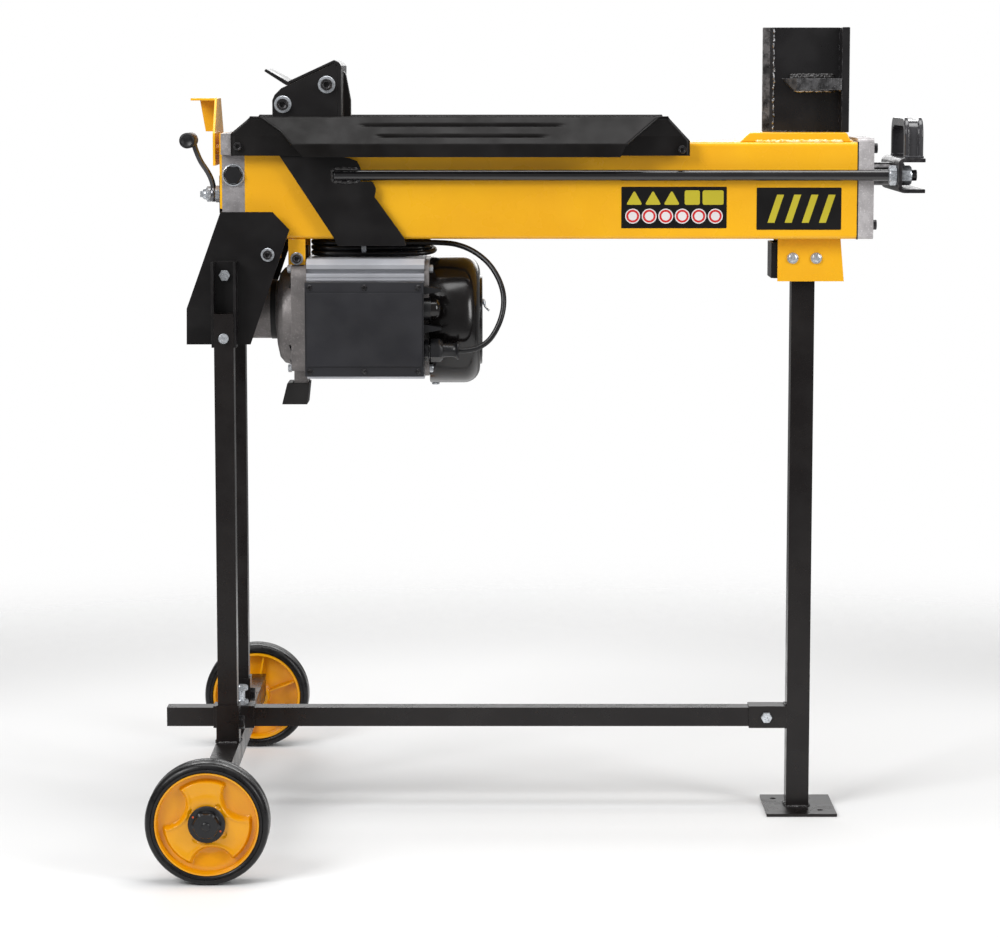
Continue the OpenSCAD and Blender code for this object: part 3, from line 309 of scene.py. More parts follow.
BARE_WELD = Finish("bare_weld", (0.42, 0.42, 0.43), (0.05, 0.048, 0.05), metallic=0.9, gloss=(0.16, 0.4),
                   patch=0.005, relief=0.0003, grain=0.0015)
BLACK_WELD = Finish("painted_weld", (0.010, 0.009, 0.0095), (0.05, 0.047, 0.047), gloss=(0.14, 0.28),
                    patch=0.005, relief=0.0002, grain=0.0015)
# Yellow-painted weld; its pale cream drift patches are painted highlights on the beads.
YELLOW_WELD_PAINTED_GLINTS = Finish("yellow_weld_painted_glints", (0.93, 0.46, 0.02), (0.96, 0.78, 0.42), gloss=(0.10, 0.22), patch=0.005,
                     relief=0.0002, grain=0.0016, coat=0.6)
CAST = Finish("cast_aluminium", (0.22, 0.204, 0.20), (0.16, 0.148, 0.146), metallic=0.35, gloss=(0.42, 0.62),
              patch=0.022, grain=0.0016, relief=0.0003, speckle=0.25, edge=0.35, scuff=(0.5, 0.49, 0.5))
CAP_CAST = Finish("cap_casting", (0.56, 0.535, 0.54), (0.40, 0.38, 0.385), metallic=0.35, gloss=(0.42, 0.6),
                  patch=0.02, grain=0.0016, relief=0.0003, speckle=0.25, edge=0.4, scuff=(0.7, 0.69, 0.7))
HEAD_CAST = Finish("head_casting", (0.35, 0.332, 0.338), (0.25, 0.237, 0.24), metallic=0.35, gloss=(0.42, 0.6),
                   patch=0.02, grain=0.0016, relief=0.0003, speckle=0.2, edge=0.4, scuff=(0.6, 0.59, 0.6))
# Chrome piston rod: its very dark colour is a painted dark reflection of the surroundings.
ROD_PAINTED_REFLECTION = Finish("rod_painted_dark_reflection", (0.075, 0.072, 0.074), (0.03, 0.029, 0.03), metallic=0.9, gloss=(0.14, 0.26),
                   patch=0.01, grain=0.0016, relief=0.00003)
FINS = Finish("fin_aluminium", (0.62, 0.63, 0.67), (0.52, 0.53, 0.57), metallic=0.5, gloss=(0.3, 0.42),
              brushed=14.0, grain=0.0006, relief=0.00003)
ZINC = Finish("zinc_plate", (0.66, 0.69, 0.73), (0.42, 0.44, 0.47), metallic=0.6, gloss=(0.16, 0.34),
              patch=0.003, grain=0.0007, relief=0.00003)
STEEL = Finish("machined_steel", (0.22, 0.22, 0.23), (0.13, 0.13, 0.14), metallic=1.0, gloss=(0.2, 0.35),
               brushed=0.12, grain=0.0005, relief=0.00002)
DARK_STEEL = Finish("blackened_steel", (0.020, 0.018, 0.020), (0.055, 0.052, 0.055), metallic=0.6,
                    gloss=(0.26, 0.5), patch=0.014, relief=0.00008, scuff=(0.35, 0.34, 0.34), scuffed=0.12, edge=0.7)
SOCKET_BLACK = Finish("black_oxide", (0.016, 0.015, 0.016), (0.03, 0.028, 0.03), metallic=0.5, gloss=(0.24, 0.4),
                      patch=0.004, relief=0.00003, scuff=(0.4, 0.4, 0.41), edge=0.5)
CORE = Finish("laminated_core", (0.17, 0.10, 0.07), (0.23, 0.15, 0.10), metallic=0.4, gloss=(0.4, 0.6),
              brushed=0.08, grain=0.0006, relief=0.00005)
LID = Finish("textured_lid", (0.0135, 0.0135, 0.0165), (0.0195, 0.0195, 0.0235), gloss=(0.40, 0.55), grain=0.0007,
             relief=0.00006, scuff=(0.004, 0.004, 0.005), scuffed=0.04, shine=0.4)
BOX_PLASTIC = Finish("black_moulding", (0.0062, 0.0062, 0.0072), (0.0115, 0.0115, 0.013), gloss=(0.28, 0.4),
                     grain=0.0009, relief=0.00003, shine=0.4)
GLOSS = Finish("glossy_cover", (0.004, 0.0033, 0.0033), (0.0062, 0.005, 0.005), gloss=(0.16, 0.26), patch=0.05,
               relief=0.00001, coat=0.15, shine=0.45)
HANDLE = Finish("handle_gloss", (0.026, 0.025, 0.028), (0.042, 0.041, 0.045), gloss=(0.2, 0.34),
                relief=0.00001, coat=0.7, edge=0.8, scuff=(0.30, 0.30, 0.32))
ROD_PAINT = Finish("rod_paint", (0.009, 0.0085, 0.0095), (0.014, 0.013, 0.0145), gloss=(0.14, 0.24),
                   relief=0.00002, scuff=(0.12, 0.12, 0.13), scuffed=0.05, edge=0.4, coat=0.6)
GRIP = Finish("grip_rubber", (0.0055, 0.0055, 0.0062), (0.011, 0.0105, 0.0115), gloss=(0.34, 0.5), grain=0.0006,
              relief=0.00004, shine=0.4)
TYRE = Finish("tyre_rubber", (0.0035, 0.0032, 0.0035), (0.0075, 0.007, 0.0078), gloss=(0.24, 0.40), patch=0.02,
              grain=0.0012, relief=0.00005, shine=0.34)
RIM = Finish("rim_moulding", (0.78, 0.345, 0.0012), (0.74, 0.305, 0.0012), gloss=(0.16, 0.26), patch=0.05,
             relief=0.00001, coat=0.25, shine=0.35)
RUBBER = Finish("foot_rubber", (0.008, 0.0078, 0.008), (0.018, 0.0165, 0.0165), gloss=(0.5, 0.7), grain=0.0009,
                relief=0.00008, shine=0.35)
CORD = Finish("cord_sheath", (0.0055, 0.0055, 0.0062), (0.0095, 0.0095, 0.0108), gloss=(0.26, 0.38),
              grain=0.0006, relief=0.00002, shine=0.4)
PANEL = Finish("panel_black", (0.0055, 0.005, 0.005), (0.008, 0.0072, 0.0072), gloss=(0.3, 0.4), relief=0.00001,
               shine=0.3)
PANEL_YELLOW = Finish("panel_yellow", (0.55, 0.47, 0.03), (0.50, 0.42, 0.025), gloss=(0.3, 0.4), relief=0.00001)
PANEL_WHITE = Finish("panel_white", (0.78, 0.74, 0.74), (0.72, 0.68, 0.68), gloss=(0.3, 0.4), relief=0.00001)
PANEL_RED = Finish("panel_red", (0.62, 0.02, 0.02), (0.55, 0.016, 0.018), gloss=(0.3, 0.4), relief=0.00001)
RED_BUSH = Finish("red_bush", (0.72, 0.10, 0.02), (0.6, 0.07, 0.015), gloss=(0.35, 0.5), relief=0.00002)
FLOOR = Finish("pale_floor", (0.80, 0.80, 0.80), (0.81, 0.81, 0.81), gloss=(0.7, 0.8), patch=1.5,
               grain=0.01, relief=0.00001, shine=0.1)


# ---------------------------------------------------------------- mesh tools


def smooth_path(points: Sequence[Point], steps: int) -> list[Vector]:
    """Returns a smooth curve through the points.

    Args:
        points: The points that it passes through.
        steps: Number of stretches between two of them.
    """
    p = [Vector(q) for q in points]
    out: list[Vector] = []
    for i in range(len(p) - 1):
        a, b, c, d = p[max(i - 1, 0)], p[i], p[i + 1], p[min(i + 2, len(p) - 1)]
        for k in range(steps):
            t = k / steps
            out.append(0.5 * (2 * b + (c - a) * t + (2 * a - 5 * b + 4 * c - d) * t * t
                              + (3 * b - a - 3 * c + d) * t ** 3))
    return [*out, p[-1]]


def ease(value: float, low: float = 0.0, high: float = 1.0) -> float:
    """Returns 0 below low, 1 above high and a smooth rise between.

    Args:
        value: The value that rises.
        low: Where the rise starts.
        high: Where it ends.
    """
    t = min(1.0, max(0.0, (value - low) / (high - low)))
    return t * t * (3 - 2 * t)


def ring_points(kind: Ring, radius: float, height: float, count: int = 24) -> list[Vector]:
    """Returns one ring of points around Z.

    Args:
        kind: A circle, or a hexagon whose radius is half its width across the flats.
        radius: Its radius.
        height: Its place along Z.
        count: Number of points.
    """
    out = []
    for k in range(count):
        angle = 2 * math.pi * k / count
        reach = radius
        if kind is Ring.HEX:
            reach = radius / math.cos((angle % (math.pi / 3)) - math.pi / 6)
        out.append(Vector((reach * math.cos(angle), reach * math.sin(angle), height)))
    return out


def fillet(path: Sequence[Point], radius: float, steps: int = 5) -> list[Vector]:
    """Returns a flat path with its inner corners rounded.

    Args:
        path: Corner points in two dimensions.
        radius: Radius of the bends.
        steps: Stretches in each bend.
    """
    p = [Vector((q[0], q[1])) for q in path]
    out = [p[0]]
    for before, here, after in zip(p, p[1:], p[2:]):
        u, v = (before - here).normalized(), (after - here).normalized()
        half = u.angle(v) / 2
        cut = min(radius / math.tan(half), 0.45 * (before - here).length, 0.45 * (after - here).length)
        for k in range(steps + 1):
            t = k / steps
            out.append((1 - t) ** 2 * (here + u * cut) + 2 * t * (1 - t) * here + t * t * (here + v * cut))
    return [*out, p[-1]]


def thicken(path: Sequence[Vector], thickness: float) -> list[Vector]:
    """Returns the outline of a bent sheet around its middle line.

    Args:
        path: The middle line, in two dimensions.
        thickness: Thickness of the sheet.
    """
    left, right = [], []
    for i, point in enumerate(path):
        heading = (path[min(i + 1, len(path) - 1)] - path[max(i - 1, 0)]).normalized()
        side = Vector((-heading[1], heading[0])) * thickness / 2
        left.append(point + side)
        right.append(point - side)
    return [*left, *reversed(right)]


class Shape:
    """A mesh under construction."""

    def __init__(self) -> None:
        """Starts with an empty mesh."""
        self.bm = bmesh.new()

    def loft(self, rings: Sequence[Sequence[Vector]], closed: bool = False, caps: bool = True) -> Shape:
        """Joins rings of equal length with faces.

        Args:
            rings: The rings, from one end to the other.
            closed: Whether the last ring joins the first.
            caps: Whether the two ends get a face.

        Returns:
            This shape.
        """
        made = [[self.bm.verts.new(p) for p in ring] for ring in rings]
        pairs = list(zip(made, made[1:])) + ([(made[-1], made[0])] if closed else [])
        for a, b in pairs:
            for k in range(len(a)):
                self.bm.faces.new((a[k], a[(k + 1) % len(a)], b[(k + 1) % len(a)], b[k]))
        if caps and not closed:
            self.bm.faces.new(list(reversed(made[0])))
            self.bm.faces.new(made[-1])
        return self

    def turned(self, profile: Sequence[tuple[float, float]], axis: Axis, at: Point, steps: int = 64) -> Shape:
        """Adds a turned body.

        Args:
            profile: Radius and place along the axis of each ring, from end to end.
            axis: The axis it is turned around.
            at: Where the axis starts.
            steps: Number of points in each ring.

        Returns:
            This shape.
        """
        rows = [(Ring.ROUND, max(r, POLE), z) for r, z in profile]
        return self.stack(rows, axis, at, steps)

    def rod(self, radius: float, long: float, axis: Axis, at: Point, steps: int) -> Shape:
        """Adds a plain round bar.

        Args:
            radius: Its radius.
            long: Its length, which may be negative.
            axis: The axis of the bar.
            at: Where it starts.
            steps: Number of points in each ring.

        Returns:
            This shape.
        """
        return self.turned([(0, 0), (radius, 0), (radius, long), (0, long)], axis, at, steps)

    def stack(self, rows: Sequence[tuple[Ring, float, float]], axis: Axis, at: Point, steps: int = 24) -> Shape:
        """Adds a body lofted through round and hexagonal rings.

        Args:
            rows: Kind, radius and place along the axis of each ring.
            axis: The axis of the body.
            at: Where the axis starts.
            steps: Number of points in each ring.

        Returns:
            This shape.
        """
        spot = Vector(at)
        return self.loft([[axis.value @ p + spot for p in ring_points(kind, r, z, steps)]
                          for kind, r, z in rows])

    def prism(self, outline: Sequence[Point], low: float, high: float, axis: Axis) -> Shape:
        """Adds an outline extruded along an axis.

        Args:
            outline: Points across the axis: Y and Z for X, X and Z for Y, X and Y for Z.
            low: Where it starts along the axis.
            high: Where it ends.
            axis: The axis it is extruded along.

        Returns:
            This shape.
        """
        def lift(p: Point, along: float) -> Vector:
            """Returns the outline's point at a place along the axis."""
            if axis is Axis.X:
                return Vector((along, p[0], p[1]))
            return Vector((p[0], along, p[1])) if axis is Axis.Y else Vector((p[0], p[1], along))

        return self.loft([[lift(p, along) for p in outline] for along in (low, high)])

    def tube(self, path: Sequence[Vector], radius: Callable[[int], float], sides: int = 12) -> Shape:
        """Adds a round tube along a path.

        Args:
            path: Points along its middle.
            radius: Gives the radius at a point's number.
            sides: Number of sides.

        Returns:
            This shape.
        """
        rings = []
        side = Vector((0.31, 0.67, 0.67))
        for i, point in enumerate(path):
            ahead = (path[min(i + 1, len(path) - 1)] - path[max(i - 1, 0)]).normalized()
            side = (side - ahead * side.dot(ahead)).normalized()
            up = ahead.cross(side)
            r = radius(i)
            rings.append([point + r * (math.cos(a) * side + math.sin(a) * up)
                          for a in (2 * math.pi * k / sides for k in range(sides))])
        return self.loft(rings)

    def bead(self, start: Point, end: Point, radius: float, seed: int) -> Shape:
        """Adds a lumpy weld bead along a straight seam.

        Args:
            start: Where the seam starts.
            end: Where it ends.
            radius: Radius of the bead.
            seed: Makes its lumps differ from another's.

        Returns:
            This shape.
        """
        a, b = Vector(start), Vector(end)
        count = max(6, int((b - a).length / (0.55 * radius)))
        rng = random.Random(seed)
        wander = [Vector([rng.uniform(-0.18, 0.18) * radius for _ in range(3)]) for _ in range(count + 1)]
        path = [a.lerp(b, i / count) + wander[i] for i in range(count + 1)]

        def swell(i: int) -> float:
            """Returns the radius at point i, with ripples and blunt ends."""
            end_fade = min(1.0, 0.35 + 0.3 * min(i, count - i))
            lump = noise.noise(Vector((i * 0.37, seed * 3.1, 0.0)))
            return radius * end_fade * (1.0 + 0.10 * math.cos(i * 2.2) + 0.35 * lump)

        return self.tube(path, swell, 8)

    def piece(self, name: str, finish: Finish, sharp: float = 32.0, bevel: float = 0.0,
              segments: int = 2, limit: float = 30.0, subdivide: int = 0) -> bpy.types.Object:
        """Turns the mesh into an object with a finish.

        Args:
            name: Name of the piece.
            finish: Its finish.
            sharp: Edges over this angle, in degrees, stay sharp to the eye.
            bevel: Width that its edges are rounded by.
            segments: Number of steps in the rounding.
            limit: Edges over this angle, in degrees, are rounded.
            subdivide: Levels of subdivision surface.

        Returns:
            The new object.
        """
        bmesh.ops.remove_doubles(self.bm, verts=self.bm.verts, dist=SAME_PLACE)
        bmesh.ops.recalc_face_normals(self.bm, faces=self.bm.faces)
        if bevel:
            round_edges(self.bm, bevel, segments, limit)
        mesh = bpy.data.meshes.new(name)
        for face in self.bm.faces:
            face.smooth = True
        for edge in self.bm.edges:
            if len(edge.link_faces) == 2 and edge.calc_face_angle(0.0) > math.radians(sharp):
                edge.smooth = False
        self.bm.to_mesh(mesh)
        self.bm.free()
        made = bpy.data.objects.new(name, mesh)
        bpy.context.scene.collection.objects.link(made)
        made.data.materials.append(finish.material())
        if subdivide:
            made.modifiers.new("smooth_form", "SUBSURF").levels = subdivide
            made.modifiers["smooth_form"].render_levels = subdivide
        elif bevel:
            made.modifiers.new("even_shading", "WEIGHTED_NORMAL").keep_sharp = True
        return made


def round_edges(bm: bmesh.types.BMesh, width: float, segments: int, limit: float) -> None:
    """Rounds the outward edges of a mesh that are sharper than a limit.

    Args:
        bm: The mesh.
        width: Width of the rounding.
        segments: Number of steps in it.
        limit: Least angle of an edge, in degrees.
    """
    sharp = [e for e in bm.edges
             if len(e.link_faces) == 2 and e.is_convex and e.calc_face_angle(0.0) > math.radians(limit)]
    if sharp:
        bmesh.ops.bevel(bm, geom=sharp, offset=width, offset_type="OFFSET", segments=segments, profile=0.5,
                        affect="EDGES", clamp_overlap=True, loop_slide=True)


# ---------------------------------------------------------------- workshop


@dataclass
class Workshop:
    """Holds the frame and puts each piece on it.

    Attributes:
        nodes: The frame's own parts by name.
        slots: The material slot of each of them; not used.
    """

    nodes: dict[str, bpy.types.Object]
    slots: dict[str, str]
    done: set[str] = field(default_factory=set)

    def box(self, node: str) -> tuple[Vector, Vector]:
        """Returns the lowest and the highest corner of a part's box."""
        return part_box(node)

    def low(self, node: str) -> Vector:
        """Returns the lowest corner of a part's box."""
        return self.box(node)[0]

    def high(self, node: str) -> Vector:
        """Returns the highest corner of a part's box."""
        return self.box(node)[1]

    def mid(self, node: str) -> Vector:
        """Returns the middle of a part's box."""
        return (self.low(node) + self.high(node)) / 2

    def fit(self, piece: bpy.types.Object, body: str, *replaced: str,
            slot: str | None = None) -> bpy.types.Object:
        """Fits a new piece to the frame.

        Args:
            piece: The new piece.
            body: The body that it rides on.
            *replaced: The parts that it stands for.
            slot: The material slot named for its finish; not used.

        Returns:
            The piece.
        """
        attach(piece, body)
        if replaced:
            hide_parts(*replaced)
            self.done.update(replaced)
        LOG.info("%s rides on %s", piece.name, body)
        return piece

    def dress(self, node: str, finish: Finish) -> None:
        """Gives a part of the frame its finish.

        Args:
            node: Name of the part.
            finish: The finish.
        """
        part = self.nodes[node]
        part.data.materials.clear()
        part.data.materials.append(finish.material())
        self.done.add(node)

    def refine(self, node: str, body: str, finish: Finish, width: float, name: str = "", segments: int = 2,
               limit: float = 30.0) -> bpy.types.Object:
        """Rebuilds a part with its edges rounded as the real piece's are.

        Args:
            node: Name of the part.
            body: The body that it rides on.
            finish: Its finish.
            width: Width of the rounding.
            name: Name of the new piece; the part's with _made after it if it is empty.
            segments: Number of steps in the rounding.
            limit: Edges over this angle, in degrees, are rounded.

        Returns:
            The new piece.
        """
        shape = Shape()
        shape.bm.from_mesh(self.nodes[node].data)
        bmesh.ops.remove_doubles(shape.bm, verts=shape.bm.verts, dist=2 * SAME_PLACE)
        bmesh.ops.dissolve_limit(shape.bm, angle_limit=math.radians(0.4), verts=shape.bm.verts,
                                 edges=shape.bm.edges)
        made = shape.piece(name or f"{node}_made", finish, bevel=width, segments=segments, limit=limit)
        return self.fit(made, body, node)


def socket_screw(shape: Shape, axis: Axis, at: Point, out: float, head: float) -> None:
    """Adds a socket head cap screw with a hexagonal recess.

    Args:
        shape: The mesh that it is added to.
        axis: The axis of the screw.
        at: Where the head's underside is.
        out: Which way along the axis the head stands, 1 or -1.
        head: Radius of the head.
    """
    r, tall = head, head * 1.15
    rows = [(Ring.ROUND, r * 0.5, 0.0), (Ring.ROUND, r, 0.0), (Ring.ROUND, r, tall * 0.86),
            (Ring.ROUND, r * 0.9, tall), (Ring.ROUND, r * 0.68, tall), (Ring.HEX, r * 0.52, tall * 0.94),
            (Ring.HEX, r * 0.5, tall * 0.35), (Ring.ROUND, r * 0.1, tall * 0.30)]
    shape.stack([(kind, radius, out * z) for kind, radius, z in rows], axis, at)


def washer(shape: Shape, axis: Axis, at: Point, out: float, radius: float, bore: float) -> None:
    """Adds a flat washer under a screw head.

    Args:
        shape: The mesh that it is added to.
        axis: The axis of the screw.
        at: Where the head's underside is.
        out: Which way along the axis the head stands, 1 or -1.
        radius: Radius of the washer.
        bore: Radius that is hidden by the screw.
    """
    rows = [(bore, 0.02 * MM), (radius - 0.5 * MM, 0.02 * MM), (radius, -0.4 * MM), (radius, -2.3 * MM),
            (bore, -2.3 * MM)]
    shape.turned([(r, out * z) for r, z in rows], axis, at, 40)


def hex_head(shape: Shape, axis: Axis, at: Point, out: float, flats: float, tall: float,
             bore: float = 0.0) -> None:
    """Adds a hexagonal bolt head or nut with bevelled corners and a washer face.

    Args:
        shape: The mesh that it is added to.
        axis: The axis of the bolt.
        at: Where the head's underside is.
        out: Which way along the axis the head stands, 1 or -1.
        flats: Width across the flats.
        tall: Height of the head.
        bore: Radius of a nut's threaded end, or 0 for a bolt head.
    """
    r = flats / 2
    rows = [(Ring.ROUND, r * 0.96, 0.0), (Ring.HEX, r, tall * 0.08), (Ring.HEX, r, tall * 0.84),
            (Ring.ROUND, r * 0.97, tall), (Ring.ROUND, r * 0.62, tall)]
    if bore:
        rows += [(Ring.ROUND, bore * 1.1, tall * 0.93), (Ring.ROUND, bore * 0.96, tall * 1.02)]
    shape.stack([(kind, radius, out * z) for kind, radius, z in rows], axis, at)


@dataclass
class Assembly:
    """A group of pieces that is built on the frame.

    Attributes:
        shop: The workshop that fits the pieces.
    """

    shop: Workshop

    def build(self) -> None:
        """Makes every piece of the group."""
        raise NotImplementedError


# ---------------------------------------------------------------- studio


@dataclass
class Studio:
    """The camera, the pale floor and the soft lights."""

    camera_at: Point = (-0.050, -4.1725, 0.9707)
    pitch: float = 82.94
    lens: float = 115.2
    sensor: float = 36.0
    fades: tuple[float, float] = (0.95, 2.3)

    def camera(self) -> None:
        """Makes the camera and names it as the scene's own."""
        data = bpy.data.cameras.new("studio_camera")
        data.lens, data.sensor_width = self.lens, self.sensor
        data.clip_start, data.clip_end = 0.05, 60.0
        made = bpy.data.objects.new("studio_camera", data)
        made.location = self.camera_at
        made.rotation_euler = (math.radians(self.pitch), 0.0, 0.0)
        bpy.context.scene.collection.objects.link(made)
        bpy.context.scene.camera = made

    def lamp(self, name: str, at: Point, size: Point, power: float, aim: Point = (0, 0, 0.7)) -> None:
        """Adds one soft rectangular light.

        Args:
            name: Name of the light.
            at: Its place.
            size: Its width and height.
            power: Its power in watts.
            aim: The point that it faces.
        """
        data = bpy.data.lights.new(name, "AREA")
        data.shape, data.size, data.size_y, data.energy = "RECTANGLE", size[0], size[1], power
        made = bpy.data.objects.new(name, data)
        made.location = at
        made.rotation_euler = (Vector(aim) - Vector(at)).to_track_quat("-Z", "Y").to_euler()
        bpy.context.scene.collection.objects.link(made)

    def fade(self, tree: bpy.types.NodeTree) -> None:
        """Lets the floor melt into its surroundings towards its rim.

        Args:
            tree: The nodes of the floor's material.
        """
        place, reach = tree.nodes.new("ShaderNodeTexCoord"), tree.nodes.new("ShaderNodeVectorMath")
        reach.operation = "LENGTH"
        level, clear = tree.nodes.new("ShaderNodeMapRange"), tree.nodes.new("ShaderNodeBsdfTransparent")
        level.interpolation_type = "SMOOTHSTEP"
        level.inputs["From Min"].default_value, level.inputs["From Max"].default_value = self.fades
        mixed, end = tree.nodes.new("ShaderNodeMixShader"), tree.nodes["Material Output"]
        tree.links.new(place.outputs["Object"], reach.inputs[0])
        tree.links.new(reach.outputs["Value"], level.inputs["Value"])
        tree.links.new(level.outputs["Result"], mixed.inputs["Fac"])
        tree.links.new(tree.nodes["Principled BSDF"].outputs["BSDF"], mixed.inputs[1])
        tree.links.new(clear.outputs["BSDF"], mixed.inputs[2])
        tree.links.new(mixed.outputs["Shader"], end.inputs["Surface"])

    def stage(self) -> None:
        """Makes the floor, the lights and the pale surroundings."""
        floor = Shape()
        edge = [(2.4 * math.cos(a), 2.4 * math.sin(a)) for a in (math.radians(3 * k) for k in range(120))]
        floor.prism(edge, -0.02, -0.0002, Axis.Z)
        floor.piece("studio_floor", FLOOR)
        self.fade(FLOOR.material().node_tree)
        self.lamp("key_light", (-2.4, -2.6, 2.6), (1.6, 1.8), 95.0)
        self.lamp("fill_light", (2.8, -2.4, 1.9), (1.2, 2.0), 60.0)
        self.lamp("top_light", (0.1, -0.3, 3.2), (2.8, 1.6), 62.0)
        self.lamp("back_light", (0.0, 3.2, 1.9), (3.0, 1.6), 45.0)
        world = bpy.data.worlds.new("studio_world")
        world.use_nodes = True
        tree = world.node_tree
        sky, way = tree.nodes["Background"], tree.nodes.new("ShaderNodeLightPath")
        level = tree.nodes.new("ShaderNodeMapRange")
        level.inputs["To Min"].default_value, level.inputs["To Max"].default_value = 0.24, 1.0
        tree.links.new(way.outputs["Is Camera Ray"], level.inputs["Value"])
        tree.links.new(level.outputs["Result"], sky.inputs["Strength"])
        sky.inputs["Color"].default_value = (1.0, 1.0, 1.0, 1.0)
        bpy.context.scene.world = world
        bpy.context.scene.view_settings.view_transform = "Standard"


# ---------------------------------------------------------------- mains cord


@dataclass
class MainsCord(Assembly):
    """The mains cord: from the gland, up into a tied hank under the beam, and on to its plug."""

    diameter: float = 7 * MM
    route: Sequence[Point] = (
        (-103, -97, 618), (-92, -97, 618), (-77, -97, 622), (-63, -96, 632), (-52, -93, 650),
        (-46, -88, 670), (-46, -80, 690), (-53, -68, 710), (-66, -56, 728), (-85, -44, 742),
        (-107, -34, 750), (-130, -29, 752), (-150, -28, 752), (-168, -28, 752))
    tail: Sequence[Point] = (
        (-200, 28, 738), (-188, 28, 738), (-176.5, 30.3, 738), (-166.8, 36.8, 738),
        (-160.3, 46.5, 738), (-158, 58, 738), (-158, 70, 738), (-158, 81.5, 735.7),
        (-158, 91.2, 729.2), (-158, 97.7, 719.5), (-158, 100, 708), (-158, 100, 688),
        (-158, 100, 668))
    turns_x: tuple[float, float] = (-164.0, -264.0)
    outer: float = 28.5
    inner: float = 21.5
    layers: tuple[float, float, float] = (752.0, 745.0, 738.0)

    def run(self, ys: tuple[float, float], zs: tuple[float, float], xs: tuple[float, float]) -> list[Point]:
        """Returns points along a straight side of the hank, without its last one.

        Args:
            ys: First and last place across.
            zs: First and last height.
            xs: First and last place along.
        """
        count = 6
        out = []
        for k in range(count):
            t, eased = k / count, ease(k / count)
            out.append((xs[0] + (xs[1] - xs[0]) * t, ys[0] + (ys[1] - ys[0]) * eased,
                        zs[0] + (zs[1] - zs[0]) * eased))
        return out

    def bend(self, end: int, radii: tuple[float, float], zs: tuple[float, float]) -> list[Point]:
        """Returns points around one end of the hank, without its last one.

        Args:
            end: 0 for the end nearer the fan, 1 for the end nearer the pump.
            radii: First and last radius.
            zs: First and last height.
        """
        count, way = 8, (1 if end == 0 else -1)
        out = []
        for k in range(count):
            t, eased = k / count, ease(k / count)
            r = radii[0] + (radii[1] - radii[0]) * eased
            out.append((self.turns_x[end] + way * r * math.sin(math.pi * t), way * r * math.cos(math.pi * t),
                        zs[0] + (zs[1] - zs[0]) * eased))
        return out

    def hank(self) -> list[Point]:
        """Returns the points of the hank's turns, two rings wide and three layers deep."""
        o, i = self.outer, self.inner
        top, middle, low = self.layers
        near, far = self.turns_x
        out = self.run((-o, -o), (top, top), (self.route[-1][0], far))
        out += self.bend(1, (o, o), (top, top)) + self.run((o, i), (top, top), (far, near))
        out += self.bend(0, (i, i), (top, top)) + self.run((-i, -i), (top, top), (near, far))
        out += self.bend(1, (i, i), (top, middle)) + self.run((i, i), (middle, middle), (far, near))
        out += self.bend(0, (i, i), (middle, middle)) + self.run((-i, -o), (middle, middle), (near, far))
        out += self.bend(1, (o, o), (middle, middle)) + self.run((o, o), (middle, middle), (far, near))
        out += self.bend(0, (o, o), (middle, low)) + self.run((-o, -o), (low, low), (near, far))
        return out + self.bend(1, (o, o), (low, low)) + self.run((o, o), (low, low), (far, self.tail[0][0]))

    def plug(self) -> bpy.types.Object:
        """Returns the plug, which hangs from the cord's end."""
        shop = self.shop
        top = Vector(self.tail[-1]) * MM
        body = Shape()
        profile = [(3.6, 0), (4.2, 0.5), (5.0, 8), (5.6, 8.5), (5.6, 11), (6.4, 11.5), (6.4, 14), (7.4, 14.5),
                   (7.6, 21), (9.0, 23), (13.4, 27), (16.6, 30.5), (18.2, 34), (18.8, 37), (18.8, 40),
                   (18.0, 41), (18.0, 44), (18.8, 45), (18.8, 48), (18.0, 49), (18.0, 52), (18.8, 53),
                   (18.8, 62.2), (18.2, 63.6), (17.0, 64.0), (0, 64.0)]
        body.turned([(r * MM, -z * MM) for r, z in [(0, 0), *profile]], Axis.Z, top, 48)
        made = shop.fit(body.piece("plug_body", CORD, sharp=40), "frame", "plug")
        pins = Shape()
        for side in (-9.5, 9.5):
            pins.turned([(0, -63.5 * MM), (2.4 * MM, -63.5 * MM), (2.4 * MM, -81.5 * MM), (1.6 * MM, -83 * MM),
                         (0, -83 * MM)], Axis.Z, top + Vector((side * MM, 0, 0)), 20)
        shop.fit(pins.piece("plug_pins", ZINC), "frame", slot="zinc")
        return made

    def tie(self) -> bpy.types.Object:
        """Returns the strap that holds the hank together."""
        shop = self.shop
        low, high = shop.box("cord_hank")
        reach, top, bottom = high[1], high[2] - 0.3 * MM, low[2] + 0.2 * MM
        corner = [(-reach, bottom + 6 * MM), (-reach + 3 * MM, bottom), (reach - 3 * MM, bottom),
                  (reach, bottom + 6 * MM), (reach, top - 6 * MM), (reach - 3 * MM, top),
                  (-reach + 3 * MM, top), (-reach, top - 6 * MM)]
        middle = (bottom + top) / 2
        strap = Shape()
        x = -226 * MM
        rings = []
        for y, z in corner:
            shrink = Vector((0, y, z - middle)).normalized() * 0.9 * MM
            outer, inner = Vector((0, y, z)), Vector((0, y, z)) - shrink
            rings.append([Vector((x + d, p[1], p[2]))
                          for p, d in ((outer, -3 * MM), (outer, 3 * MM), (inner, 3 * MM), (inner, -3 * MM))])
        strap.loft(rings, closed=True)
        return shop.fit(strap.piece("hank_tie", ZINC), "frame", slot="black_plastic")

